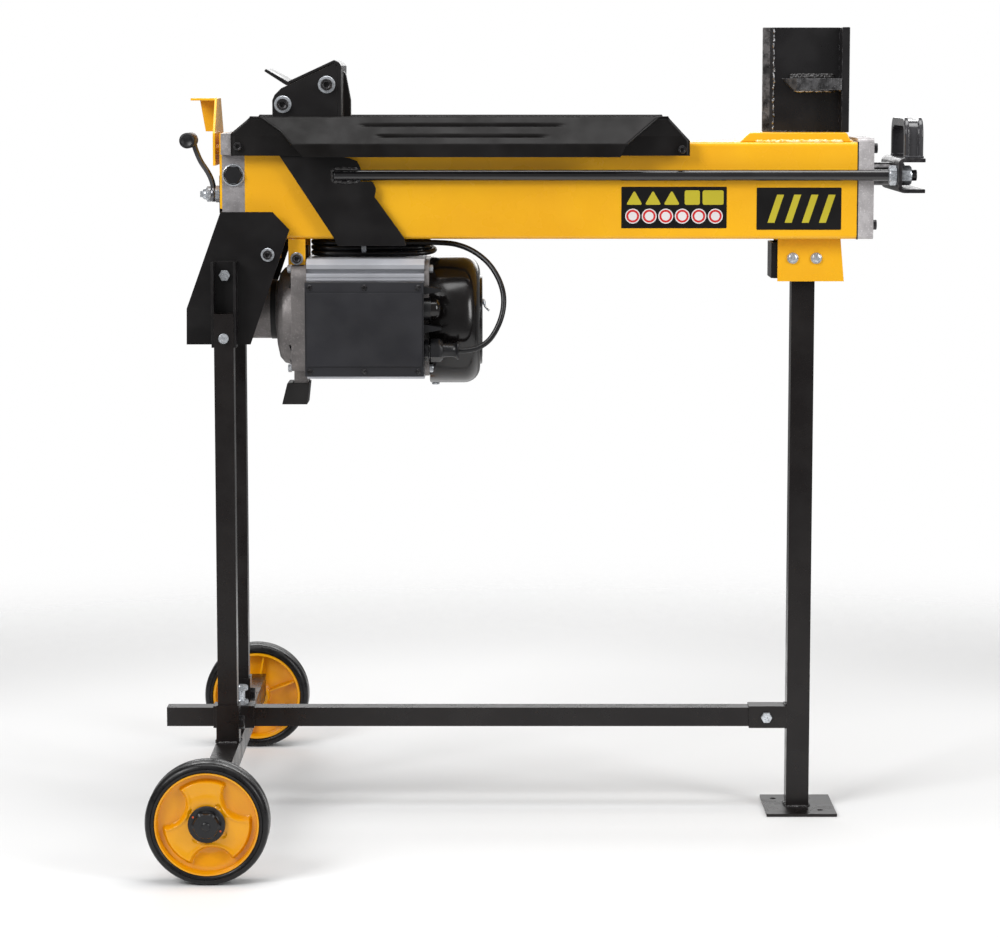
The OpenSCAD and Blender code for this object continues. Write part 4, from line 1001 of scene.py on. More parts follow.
    def build(self) -> None:
        """Makes the cord with its tie and its plug."""
        shop = self.shop
        points = [*self.route[:-1], *self.hank(), *self.tail]
        path = smooth_path([Vector(p) * MM for p in points], 4)
        data = bpy.data.curves.new("mains_cord", "CURVE")
        data.dimensions, data.bevel_depth, data.bevel_resolution = "3D", self.diameter / 2, 5
        data.use_fill_caps = True
        line = data.splines.new("POLY")
        line.points.add(len(path) - 1)
        for point, spot in zip(line.points, path):
            point.co = (*spot, 1.0)
        line.use_smooth = True
        made = bpy.data.objects.new("mains_cord", data)
        bpy.context.scene.collection.objects.link(made)
        data.materials.append(CORD.material())
        shop.fit(made, "frame", "cord", "cord_hank")
        self.plug()
        self.tie()


# ---------------------------------------------------------------- beam and wedge


@dataclass
class BeamEnd(Assembly):
    """One side of the beam with its two plain information panels."""

    proud: float = 0.35 * MM
    mark_panel: tuple[float, float, float, float] = (279 * MM, 770 * MM, 387.5 * MM, 824 * MM)
    sign_panel: tuple[float, float, float, float] = (105.6 * MM, 772 * MM, 240.6 * MM, 825 * MM)

    def flat(self, name: str, finish: Finish, outlines: Iterable[Sequence[Point]],
             level: int) -> None:
        """Adds thin flat shapes on the beam's near side.

        Args:
            name: Name of the piece.
            finish: Its finish.
            outlines: Outlines in X and Z.
            level: How many layers lie under it.
        """
        shop = self.shop
        face = shop.low("beam")[1]
        shape = Shape()
        for outline in outlines:
            shape.prism(outline, face - self.proud * (1 + 0.35 * level), face + 0.05 * MM, Axis.Y)
        shop.fit(shape.piece(name, finish), "frame")

    def rounded(self, x0: float, z0: float, x1: float, z1: float, r: float) -> list[Point]:
        """Returns a rectangle with round corners.

        Args:
            x0: Left side.
            z0: Underside.
            x1: Right side.
            z1: Top side.
            r: Radius of its corners.
        """
        out = []
        for cx, cz, turn in ((x1 - r, z1 - r, 0), (x0 + r, z1 - r, 90), (x0 + r, z0 + r, 180),
                             (x1 - r, z0 + r, 270)):
            for k in range(6):
                a = math.radians(turn + 18 * k)
                out.append((cx + r * math.cos(a), cz + r * math.sin(a)))
        return out

    def disc(self, x: float, z: float, r: float) -> list[Point]:
        """Returns a circle of points around a place in X and Z."""
        return [(x + r * math.cos(a), z + r * math.sin(a)) for a in (2 * math.pi * k / 28 for k in range(28))]

    def build(self) -> None:
        """Dresses the beam and adds the panels."""
        shop = self.shop
        shop.dress("beam", YELLOW)
        panels = [self.rounded(*self.mark_panel, 1.2 * MM), self.rounded(*self.sign_panel, 1.2 * MM)]
        self.flat("information_panels", PANEL, panels, 0)
        x0, z0, _, z1 = self.sign_panel
        size, top, low = 19.5 * MM, z1 - 14 * MM, z0 + 15.5 * MM
        signs = []
        for k in range(3):
            x = x0 + 16.5 * MM + k * 24 * MM
            corners = [(x, top + 9.5 * MM), (x - 10.5 * MM, top - 9 * MM), (x + 10.5 * MM, top - 9 * MM)]
            start = ((corners[0][0] + corners[1][0]) / 2, (corners[0][1] + corners[1][1]) / 2)
            ring = fillet([start, corners[1], corners[2], corners[0], start], 2.0 * MM)
            signs.append([(p[0], p[1]) for p in ring[:-1]])
        for left, wide in ((x0 + 81 * MM, size), (x0 + 104 * MM, size * 1.38)):
            signs.append(self.rounded(left, top - 9 * MM, left + wide, top + 9.5 * MM, 2.5 * MM))
        self.flat("panel_signs_yellow", PANEL_YELLOW, signs, 1)
        spots = [x0 + 14.5 * MM + k * 21.2 * MM for k in range(6)]
        self.flat("panel_discs_white", PANEL_WHITE, [self.disc(x, low, 9.6 * MM) for x in spots], 1)
        self.flat("panel_discs_red", PANEL_RED, [self.disc(x, low, 8.2 * MM) for x in spots], 2)
        self.flat("panel_discs_middle", PANEL_WHITE, [self.disc(x, low, 5.6 * MM) for x in spots], 3)
        x0, z0, x1, z1 = self.mark_panel
        stripes = []
        for k in range(4):
            left = x0 + (14 + 22 * k) * MM
            stripes.append([(left, z0 + 9 * MM), (left + 9 * MM, z0 + 9 * MM), (left + 21 * MM, z1 - 9 * MM),
                            (left + 12 * MM, z1 - 9 * MM)])
        self.flat("panel_stripes", PANEL_YELLOW, stripes, 1)


@dataclass
class Wedge(Assembly):
    """The splitting wedge on its welded base."""

    bead: float = 2.0 * MM
    half: float = 8 * MM
    bevel: float = 14.5 * MM

    def build(self) -> None:
        """Makes the base, the blade, the side wings and their welds."""
        shop = self.shop
        shop.refine("wedge_base", "frame", YELLOW, 1.6 * MM, segments=3)
        shop.refine("wedge_blade", "frame", WEDGE_BLACK, 0.9 * MM, limit=25)
        shop.refine("wedge_side_wings", "frame", MILLED, 0.8 * MM)
        low, high = shop.box("wedge_base")
        paint = Shape()
        for k, y in enumerate((low[1], high[1])):
            paint.bead((low[0] + 20 * MM, y, low[2] + 0.6 * MM), (high[0] - 10 * MM, y, low[2] + 0.6 * MM),
                       2.6 * MM, 5 + k)
        paint.bead((high[0] + 1 * MM, low[1] + 4 * MM, low[2]), (high[0] + 1 * MM, high[1] - 4 * MM, low[2]),
                   2.4 * MM, 9)
        # The base welds' pale cream patches are painted highlights.
        shop.fit(paint.piece("wedge_base_welds", YELLOW_WELD_PAINTED_GLINTS, sharp=80), "frame", slot="yellow_paint")
        blade_low, blade_high = shop.box("wedge_blade")
        wing, wing_high = shop.box("wedge_side_wings")
        half, bevel_x = self.half, blade_low[0] + self.bevel
        bare = Shape()
        for k, side in enumerate((-1, 1)):
            z = blade_low[2] + 3 * MM
            rng = random.Random(31 + k)
            while z < blade_high[2] - 6 * MM:
                run = rng.uniform(5, 15) * MM
                shift = rng.uniform(-1.5, 1.5) * MM
                bare.bead((bevel_x + shift, side * half, z), (bevel_x - shift / 2, side * half,
                          min(z + run, blade_high[2] - 3 * MM)), rng.uniform(1.0, 1.9) * MM, int(z * 9000))
                z += run + rng.uniform(-1, 3) * MM
            bare.bead((wing[0] + 16 * MM, side * (half + 1.5 * MM), wing[2] - 0.8 * MM),
                      (wing_high[0] - 3 * MM, side * (half + 1.5 * MM), wing[2] - 0.8 * MM), 2.8 * MM, 41 + k)
            bare.bead((wing_high[0] - 1 * MM, side * (half + 2 * MM), wing[2]),
                      (wing_high[0] - 1 * MM, side * (half + 30 * MM), wing[2]), self.bead, 77 + k)
        shop.fit(bare.piece("wedge_welds", BARE_WELD, sharp=80), "frame", slot="wedge_paint")
        band = Shape()
        tip = blade_low[0] + 0.6 * MM
        for side in (-1, 1):
            outline = [(tip, side * 0.6 * MM), (bevel_x, side * (half + 0.15 * MM)),
                       (bevel_x, side * (half - 2 * MM)), (tip + 4 * MM, side * 0.4 * MM)]
            band.prism(outline, blade_low[2] + 0.3 * MM, blade_high[2] - 0.3 * MM, Axis.Z)
        shop.fit(band.piece("wedge_ground_band", GROUND), "frame", slot="wedge_paint")
        foot = Shape()
        for k, side in enumerate((-1, 1)):
            for lift, thick in ((1.0, 3.2), (4.0, 2.2)):
                foot.bead((wing[0] + 11 * MM, side * (half + 1 * MM), wing_high[2] + lift * MM),
                          (wing_high[0] - 6 * MM, side * (half + 1 * MM), wing_high[2] + lift * MM), thick * MM,
                          int(lift * 7) + k)
            foot.bead((blade_low[0] + 12 * MM, side * half, blade_low[2]),
                      (blade_high[0] - 10 * MM, side * half, blade_low[2]), self.bead, 51 + k)
        shop.fit(foot.piece("wedge_foot_welds", BLACK_WELD, sharp=80), "frame", slot="wedge_paint")


# ---------------------------------------------------------------- hydraulics


@dataclass
class Hydraulics(Assembly):
    """The pump head, the end cap and the cylinder between them."""

    plug_flats: float = 21 * MM
    travel: float = 390 * MM

    def build(self) -> None:
        """Makes the castings and dresses the cylinder's parts."""
        shop = self.shop
        shop.refine("pump_head", "frame", HEAD_CAST, 1.4 * MM)
        shop.refine("end_cap", "frame", CAP_CAST, 1.6 * MM)
        shop.refine("tie_bolts", "frame", DARK_STEEL, 0.6 * MM)
        shop.refine("pump_body", "frame", CAST, 1.2 * MM)
        shop.dress("rod_seal", RUBBER)
        # The piston rod's dark colour is a painted dark reflection.
        shop.dress("piston_rod", ROD_PAINTED_REFLECTION)
        for node in ("cylinder_tube", "return_spring", "piston", "drive_gear", "idler_gear"):
            shop.dress(node, STEEL)
        coil, (start, end) = shop.nodes["return_spring"], shop.box("return_spring")
        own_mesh(coil)
        cap_low, cap_high = shop.box("end_cap")
        left, right = cap_low[1] - 0.5 * MM, cap_high[1] + 0.5 * MM
        under, over = cap_low[2] - 0.5 * MM, cap_high[2] - 4.5 * MM
        joint = Shape().prism([(left, under), (right, under), (right, over), (left, over)],
                              cap_low[0] - 0.4 * MM, cap_low[0] + 1.1 * MM, Axis.X)
        shop.fit(joint.piece("end_gasket", RUBBER, bevel=0.3 * MM), "frame", slot="seal_rubber")
        spot = shop.mid("oil_plug")
        face = shop.low("beam")[1]
        ring, head = Shape(), Shape()
        at = (spot[0], face, spot[2])
        ring.turned([(9.5 * MM, 0), (14.6 * MM, 0), (14.6 * MM, 1.6 * MM), (13.9 * MM, 2.6 * MM),
                     (12.6 * MM, 2.9 * MM), (11.9 * MM, 2.2 * MM), (11.6 * MM, 1.0 * MM), (9.5 * MM, 1.0 * MM)],
                    Axis.Y, at, 56)
        hex_head(head, Axis.Y, (at[0], face, at[2]), 1.0, self.plug_flats, 7.6 * MM)
        head.turned([(0, 0.2 * MM), (8.9 * MM, 0.2 * MM), (8.9 * MM, -13 * MM), (0, -13 * MM)], Axis.Y, at, 32)
        for made in (ring, head):
            for v in made.bm.verts:
                v.co.y = 2 * face - v.co.y
        shop.fit(ring.piece("oil_plug_ring", ZINC), "frame", slot="cast_aluminium")
        shop.fit(head.piece("oil_plug_head", BOX_PLASTIC), "frame", "oil_plug")
        low, high = shop.box("pump_body")
        centre = (low + high) / 2
        gasket = Shape()
        reach = (high[2] - low[2]) / 2 + 0.8 * MM
        gasket.turned([(reach - 9 * MM, 0), (reach, 0), (reach, 7 * MM), (reach - 9 * MM, 7 * MM)], Axis.X,
                      (high[0] - 8.5 * MM, 0, centre[2]), 64)
        shop.fit(gasket.piece("pump_gasket", RUBBER), "frame", slot="seal_rubber")


@dataclass
class LogWings(Assembly):
    """The two bent sheets that hold a log on the bed."""

    sheet: float = 2.5 * MM
    columns: int = 96
    corner: float = 2.5 * MM

    def ends(self, z: float, bed: float, x0: float, x1: float, outer: bool) -> tuple[float, float]:
        """Returns where the sheet starts and stops along X at a height.

        Args:
            z: The height.
            bed: Height of the log bed.
            x0: The wing's first end.
            x1: The wing's last end.
            outer: Whether this is the panel that slopes down outwards.
        """
        left = [(11, 0), (39, 34)] if not outer else [(-25, 98), (-18, 94), (14, 64), (39, 27)]
        right = [(2, 0), (39, -35)] if not outer else [(-25, -93), (-4, -83), (39, -30)]

        def at(table: list[tuple[float, float]]) -> float:
            """Returns the table's shift at this height."""
            h = (z - bed) / MM
            if h <= table[0][0]:
                return table[0][1] * MM
            for (h0, d0), (h1, d1) in zip(table, table[1:]):
                if h <= h1:
                    return (d0 + (d1 - d0) * (h - h0) / (h1 - h0)) * MM
            return table[-1][1] * MM

        return x0 + at(left), x1 + at(right)

    def build(self) -> None:
        """Makes both wings, each as one sheet with two pressed grooves."""
        shop = self.shop
        low, high = shop.box("log_wings")
        bed = shop.high("beam")[2]
        base = abs(shop.low("pump_head")[1]) + self.sheet / 2
        ridge = base + 7.7 * MM - self.sheet / 2
        corner = [(base, bed - 17 * MM), (base, bed + 8 * MM), (ridge, bed + 34 * MM),
                  (ridge + 28 * MM, bed - 2 * MM), (ridge + 28 * MM, bed - 18 * MM)]
        line = fillet(corner, self.corner, 4)
        dense: list[Vector] = []
        for a, b in zip(line, line[1:]):
            count = max(1, int((b - a).length / (1.2 * MM)))
            dense += [a.lerp(b, k / count) for k in range(count)]
        dense.append(line[-1])
        top = max(range(len(dense)), key=lambda i: dense[i][1])
        grooves = ((dense[top] + Vector((8.8, -10.9)) * MM, 169, -164),
                   (dense[top] + Vector((19.2, -24.5)) * MM, 190, -184))
        shape = Shape()
        for side in (-1, 1):
            rows = []
            for i, p in enumerate(dense):
                a, b = self.ends(p[1], bed, low[0], high[0], i > top)
                row = []
                for k in range(self.columns + 1):
                    x = a + (b - a) * k / self.columns
                    dip = Vector((0.0, 0.0))
                    for spot, start, stop in grooves:
                        off = (p - spot).length
                        inside = min(x - (low[0] + start * MM), (high[0] + stop * MM) - x)
                        if off < 3.6 * MM and inside > -2 * MM and i > top:
                            deep = 0.5 + 0.5 * math.cos(math.pi * off / (3.6 * MM))
                            deep *= min(1.0, max(0.0, (inside + 2 * MM) / (6 * MM)))
                            dip += Vector((-0.79, -0.61)) * 3.2 * MM * deep
                    row.append(shape.bm.verts.new((x, side * (p[0] + dip[0]), p[1] + dip[1])))
                rows.append(row)
            for r0, r1 in zip(rows, rows[1:]):
                for k in range(self.columns):
                    shape.bm.faces.new((r0[k], r0[k + 1], r1[k + 1], r1[k]))
        made = shape.piece("log_wing_sheets", BLACK_SHEET, sharp=40)
        skin = made.modifiers.new("sheet", "SOLIDIFY")
        skin.thickness, skin.offset, skin.use_even_offset = self.sheet, 0.0, True
        shop.fit(made, "frame", "log_wings")
        screws, rings = Shape(), Shape()
        for side in (-1, 1):
            face = side * (base + self.sheet / 2)
            for x, z, r in ((shop.high("pump_head")[0] - 7 * MM, bed - 5 * MM, 5.4 * MM),
                            (high[0] - 10 * MM, bed - 9 * MM, 5.4 * MM)):
                socket_screw(screws, Axis.Y, (x, face, z), side, r)
                screws.rod(3 * MM, -side * 14 * MM, Axis.Y, (x, face, z), 16)
            x, z = shop.high("pump_head")[0] + 30 * MM, shop.low("beam")[2] - 19 * MM
            face = side * (abs(shop.low("beam")[1]) + 19.2 * MM)
            socket_screw(screws, Axis.Y, (x, face + side * 2.3 * MM, z), side, 5.8 * MM)
            washer(rings, Axis.Y, (x, face + side * 2.3 * MM, z), side, 8.6 * MM, 4.0 * MM)
        shop.fit(screws.piece("cover_screws_made", SOCKET_BLACK), "frame", "cover_screws")
        shop.fit(rings.piece("cover_washers", ZINC), "frame", slot="zinc")


# ---------------------------------------------------------------- ram


@dataclass
class Ram(Assembly):
    """The carriage with its pusher, pull rods, yoke and carry handle."""

    screw_head: float = 7.4 * MM
    washer: float = 11.0 * MM
    sheet: float = 5.0 * MM
    handle_bar: float = 12.5 * MM
    handle_bend: float = 20 * MM

    def handle(self) -> None:
        """Makes the arched handle with a channel along its outside."""
        shop = self.shop
        low, high = shop.box("carry_handle")
        half, thick = (high[1] - low[1]) / 2, self.handle_bar
        x0, x1, mid = low[0], high[0], (low[0] + high[0]) / 2
        line = fillet([(-half + thick / 2, low[2]), (-half + thick / 2, high[2] - thick / 2),
                       (half - thick / 2, high[2] - thick / 2), (half - thick / 2, low[2])], self.handle_bend, 12)
        wide = (x1 - x0) / 2
        section = [(-wide, -0.42), (-wide, 0.34), (-wide + 1.4 * MM, 0.5), (-wide + 5.2 * MM, 0.5),
                   (-wide + 6.6 * MM, 0.14), (wide - 6.6 * MM, 0.14), (wide - 5.2 * MM, 0.5),
                   (wide - 1.4 * MM, 0.5), (wide, 0.34), (wide, -0.42), (wide - 1.6 * MM, -0.5),
                   (-wide + 1.6 * MM, -0.5)]
        shape = Shape()
        rings = []
        for i, p in enumerate(line):
            ahead = (line[min(i + 1, len(line) - 1)] - line[max(i - 1, 0)]).normalized()
            out = Vector((-ahead[1], ahead[0]))
            rings.append([Vector((mid + s, p[0] + out[0] * t * thick, p[1] + out[1] * t * thick))
                          for s, t in section])
        shape.loft(rings)
        for side in (-1, 1):
            y = side * (half - thick / 2)
            shape.prism([(x0, y - 9 * MM), (x1 + 0.5 * MM, y - 9 * MM), (x1 + 0.5 * MM, y + 9 * MM - 2.6 * MM),
                         (x0, y + 9 * MM - 2.6 * MM)], low[2] + 0.02 * MM, low[2] + 2.6 * MM, Axis.Z)
        shop.fit(shape.piece("carry_handle_arch", HANDLE, bevel=0.7 * MM, limit=38), "ram", "carry_handle")

    def yoke(self) -> None:
        """Makes the yoke, a channel bent from thick sheet."""
        shop = self.shop
        low, high = shop.box("yoke")
        t = self.sheet / 2
        line = fillet([(high[0], low[2] + t), (low[0] + t, low[2] + t), (low[0] + t, high[2] - t),
                       (high[0], high[2] - t)], 6 * MM, 6)
        shape = Shape().prism(thicken(line, self.sheet), low[1], high[1], Axis.Y)
        shop.fit(shape.piece("yoke_channel", DARK_STEEL, bevel=0.8 * MM, limit=40), "ram", "yoke")

    def fasteners(self) -> None:
        """Makes the carriage screws, the rod nuts and their studs."""
        shop = self.shop
        plate = abs(shop.low("carriage_plates")[1])
        bed = shop.high("beam")[2]
        face = shop.high("carriage_plates")[0] - 81.5 * MM
        shape, caps = Shape(), Shape()
        for x, z in ((face - 74.5 * MM, bed + 48 * MM), (face - 18.5 * MM, bed + 73 * MM)):
            for side in (-1, 1):
                socket_screw(caps, Axis.Y, (x, side * (plate + 2.3 * MM), z), side, self.screw_head)
                washer(shape, Axis.Y, (x, side * (plate + 2.3 * MM), z), side, self.washer, 5.5 * MM)
            shape.turned([(0, -plate), (5 * MM, -plate), (5 * MM, plate), (0, plate)], Axis.Y, (x, 0, z), 20)
        yoke_x = shop.low("yoke")[0]
        reach = abs(shop.low("pull_rods")[1] + 3 * MM)
        z = shop.mid("yoke")[2]
        for side in (-1, 1):
            hex_head(shape, Axis.X, (yoke_x, side * reach, z), -1.0, 22 * MM, 10 * MM)
            hex_head(shape, Axis.X, (yoke_x + self.sheet, side * reach, z), 1.0, 22 * MM, 13.5 * MM, 7 * MM)
        hex_head(shape, Axis.X, (yoke_x + self.sheet, 0, z), 1.0, 27 * MM, 13.5 * MM, 9 * MM)
        shop.fit(shape.piece("ram_fasteners_made", ZINC), "ram", "ram_fasteners")
        shop.fit(caps.piece("ram_screw_heads", SOCKET_BLACK), "ram", slot="zinc")

    def build(self) -> None:
        """Makes every piece that slides with the ram."""
        shop = self.shop
        shop.refine("carriage_plates", "ram", BLACK, 0.8 * MM)
        shop.refine("pusher", "ram", BLACK, 1.0 * MM, segments=3, limit=22)
        shop.refine("pull_rods", "ram", ROD_PAINT, 0.8 * MM)
        self.handle()
        self.yoke()
        self.fasteners()
        cup = Shape()
        plate = abs(shop.low("carriage_plates")[1])
        z = shop.mid("yoke")[2]
        x0 = shop.low("pull_rods")[0]
        for side in (-1, 1):
            y = side * (plate - 0.6 * MM)
            for k, dz in enumerate((-8.6, 8.6)):
                cup.bead((x0 + 1 * MM, y, z + dz * MM), (x0 + 33 * MM, y, z + dz * 0.95 * MM), 2.5 * MM, 14 + k)
            cup.bead((x0, y, z - 9 * MM), (x0, y, z + 9 * MM), 2.3 * MM, 21)
        shop.fit(cup.piece("rod_welds", BLACK_WELD, sharp=80), "ram", slot="black_paint")


# ---------------------------------------------------------------- motor


@dataclass
class Motor(Assembly):
    """The motor below the beam, with its finned housing and its fan cover."""

    fin: float = 1.1 * MM
    core_bore: float = 62 * MM
    cover_wall: float = 2.6 * MM
    cover_bend: float = 21 * MM

    def housing_outline(self, half: float) -> list[Point]:
        """Returns the outline of the finned extrusion around the motor's axis.

        Args:
            half: Half its width and height.
        """
        def side(count: int, slot_at: float | None) -> list[tuple[float, float]]:
            """Returns the points of one side, as place along it and depth below it."""
            edge = half - 7 * MM
            out: list[tuple[float, float]] = []
            step = 2 * edge / count
            for k in range(count):
                s = -edge + k * step
                if slot_at is not None and abs(s + step / 2 - slot_at) < 4.2 * MM:
                    deep = 11 * MM if abs(s + step / 2 - slot_at) < step * 0.6 else 0.0
                    out += [(s, deep), (s + step, deep)]
                    continue
                out += [(s, 0.0), (s + step * 0.58, 0.0), (s + step * 0.64, self.fin),
                        (s + step * 0.94, self.fin)]
            out.append((edge, 0.0))
            return out

        outline: list[Point] = []
        for s, d in side(26, half - 13 * MM):
            outline.append((-half + d, s))
        for s, d in side(14, None):
            outline.append((s, half - 3 * d))
        for s, d in side(14, None):
            outline.append((half - 3 * d, -s))
        for s, d in side(14, None):
            outline.append((-s, -half + 3 * d))
        return outline

    def housing(self) -> None:
        """Makes the finned housing with the bore for the core."""
        shop = self.shop
        low, high = shop.box("stator_housing")
        half, z = (high[1] - low[1]) / 2, (low[2] + high[2]) / 2
        outer = [Vector((0, y, z + dz)) for y, dz in self.housing_outline(half)]
        bore = self.core_bore
        inner = [Vector((0, bore * (p.y / v.length), z + bore * ((p.z - z) / v.length)))
                 for p in outer for v in (Vector((0, p.y, p.z - z)),)]
        shape = Shape()
        x0, x1 = Vector((low[0], 0, 0)), Vector((high[0], 0, 0))
        shape.loft([[p + x0 for p in outer], [p + x1 for p in outer], [p + x1 for p in inner],
                    [p + x0 for p in inner]], closed=True)
        shop.fit(shape.piece("stator_housing_fins", FINS, sharp=20), "frame", "stator_housing")

    def cover(self) -> None:
        """Makes the glossy fan cover with its rolled end and its grille."""
        shop = self.shop
        low, high = shop.box("fan_cover")
        r, z, long = (high[2] - low[2]) / 2, (low[2] + high[2]) / 2, high[0] - low[0]
        outer = [(r - 1.2 * MM, 0.0), (r, 1.2 * MM), (r, long - 24 * MM)]
        for k in range(1, 9):
            a = math.radians(90 * k / 8)
            outer.append((r - self.cover_bend * (1 - math.cos(a)),
                          long - 24 * MM + self.cover_bend * math.sin(a)))
        outer += [(r - 24 * MM, long - 3 * MM), (r - 25 * MM, long - 0.3 * MM), (r - 29 * MM, long),
                  (r - 31 * MM, long - 2.5 * MM)]
        for ring in (46, 34, 22):
            outer += [(ring * MM, long - 2.5 * MM), ((ring - 1.5) * MM, long - 1.0 * MM),
                      ((ring - 4.5) * MM, long - 1.0 * MM), ((ring - 6) * MM, long - 2.5 * MM)]
        inner, bend = [(r - 32 * MM, long - 5.2 * MM), (r - 24 * MM, long - 7 * MM)], self.cover_bend - 2 * MM
        for k in range(8, -1, -1):
            a = math.radians(90 * k / 8)
            inner.append((r - self.cover_wall - bend * (1 - math.cos(a)),
                          long - 26 * MM + bend * math.sin(a)))
        inner.append((r - self.cover_wall, 0.0))
        middle = [(POLE, long - 2.5 * MM), (POLE, long - 5.2 * MM)]
        spot = Vector((low[0], 0, z))
        shape = Shape().loft([[Axis.X.value @ p + spot for p in ring_points(Ring.ROUND, radius, x, 96)]
                              for radius, x in [*outer, *middle, *inner]], closed=True)
        shop.fit(shape.piece("fan_cover_shell", GLOSS, sharp=50), "frame", "fan_cover")
        vents = Shape()
        for ring in (53, 41, 29):
            for k in range(18):
                a0, a1 = math.radians(20 * k), math.radians(20 * k + 13)
                arc = [a0 + (a1 - a0) * j / 4 for j in range(5)]
                outline = [(math.cos(a) * (ring + 1.6) * MM, z + math.sin(a) * (ring + 1.6) * MM)
                           for a in arc]
                outline += [(math.cos(a) * (ring - 1.6) * MM, z + math.sin(a) * (ring - 1.6) * MM)
                            for a in reversed(arc)]
                vents.prism(outline, high[0] - 2.6 * MM, high[0] - 2.2 * MM, Axis.X)
        shop.fit(vents.piece("fan_cover_vents", RUBBER), "frame", slot="gloss_cover")
        clip = Shape()
        path = [Vector((high[0] + x * MM, y * MM, z + up * MM))
                for x, y, up in ((-2, -24, 28), (1.5, -24, 26), (3.5, -25, 19), (9, -25, 13))]
        clip.tube(smooth_path(path, 5), lambda i: (1.4 if i > 8 else 2.2) * MM, 10)
        shop.fit(clip.piece("cover_clip", ZINC, sharp=80), "frame", slot="zinc")

    def ribs(self) -> None:
        """Makes the cast ribs between the end bell and its square back."""
        shop = self.shop
        low, high = shop.box("motor_flange")
        z = shop.mid("stator_housing")[2]
        shape = Shape()
        for turn in (35, 62, 118, 145, 215, 242, 298, 325):
            a = math.radians(turn)
            out, across = Vector((0, math.cos(a), math.sin(a))), Vector((0, -math.sin(a), math.cos(a)))
            points = [(low[0] + 12 * MM, 52), (low[0] + 26 * MM, 66), (high[0] - 20 * MM, 74),
                      (high[0] - 20 * MM, 50), (low[0] + 12 * MM, 44)]
            rings = []
            for shift in (-2.2, 2.2):
                rings.append([Vector((x, 0, z)) + out * r * MM + across * shift * MM for x, r in points])
            shape.loft(rings)
        shop.fit(shape.piece("flange_ribs", CAST, bevel=0.9 * MM), "frame", slot="cast_aluminium")

    def fasteners(self) -> None:
        """Makes the tie rods with their nuts, the flange bolts and the lid screws."""
        shop = self.shop
        low, high = shop.box("stator_housing")
        z, half = (low[2] + high[2]) / 2, (high[1] - low[1]) / 2
        shape, dark = Shape(), Shape()
        for i in (-1, 1):
            for j in (-1, 1):
                y, h = i * (half - 14 * MM), z + j * (half - 13 * MM)
                long = high[0] - low[0] + 36 * MM
                shape.rod(2.5 * MM, long, Axis.X, (low[0] - 25 * MM, y, h), 14)
                hex_head(shape, Axis.X, (high[0] + 6 * MM, y, h), 1.0, 9 * MM, 5 * MM)
                hex_head(shape, Axis.X, (low[0] - 20 * MM, y, h), -1.0, 9 * MM, 5 * MM)
        beam = shop.low("beam")
        for side in (-1, 1):
            spot = (low[0] - 13 * MM, side * (abs(beam[1]) + 0.6 * MM), beam[2] - 25 * MM)
            socket_screw(dark, Axis.Y, spot, side, 6.0 * MM)
            washer(shape, Axis.Y, spot, side, 8.2 * MM, 4.0 * MM)
        lid_low, lid_high = shop.box("terminal_lid")
        for h in (lid_low[2] + 6.5 * MM, lid_high[2] - 6.5 * MM):
            for x in (lid_low[0] + 6 * MM, (lid_low[0] + lid_high[0]) / 2, lid_high[0] - 7 * MM):
                face = lid_low[1] + 2 * MM
                rows = [(Ring.ROUND, 1.8 * MM, 0.0), (Ring.ROUND, 3.7 * MM, 0.0), (Ring.ROUND, 3.6 * MM, -1.0 * MM),
                        (Ring.ROUND, 2.9 * MM, -1.7 * MM), (Ring.ROUND, 1.7 * MM, -1.9 * MM),
                        (Ring.HEX, 1.2 * MM, -1.4 * MM), (Ring.HEX, 0.9 * MM, -0.6 * MM)]
                dark.stack(rows, Axis.Y, (x, face, h))
        cover = shop.low("fan_cover")
        hex_head(shape, Axis.Z, (cover[0] + 7 * MM, 0, cover[2]), -1.0, 8.5 * MM, 2.9 * MM)
        shop.fit(shape.piece("motor_fasteners_made", ZINC), "frame", "motor_fasteners")
        shop.fit(dark.piece("motor_screws_dark", SOCKET_BLACK), "frame", slot="zinc")

    def build(self) -> None:
        """Makes the motor."""
        shop = self.shop
        self.housing()
        self.cover()
        self.ribs()
        self.fasteners()
        shop.refine("motor_flange", "frame", CAST, 2.0 * MM, segments=3)
        shop.refine("motor_foot", "frame", RUBBER, 2.4 * MM, segments=3)
        shop.refine("rear_shield", "frame", CAST, 0.9 * MM)
        for node, finish in (("stator_core", CORE), ("shaft_bearings", STEEL), ("rotor", STEEL),
                             ("cooling_fan", BOX_PLASTIC), ("capacitor", FINS)):
            shop.dress(node, finish)


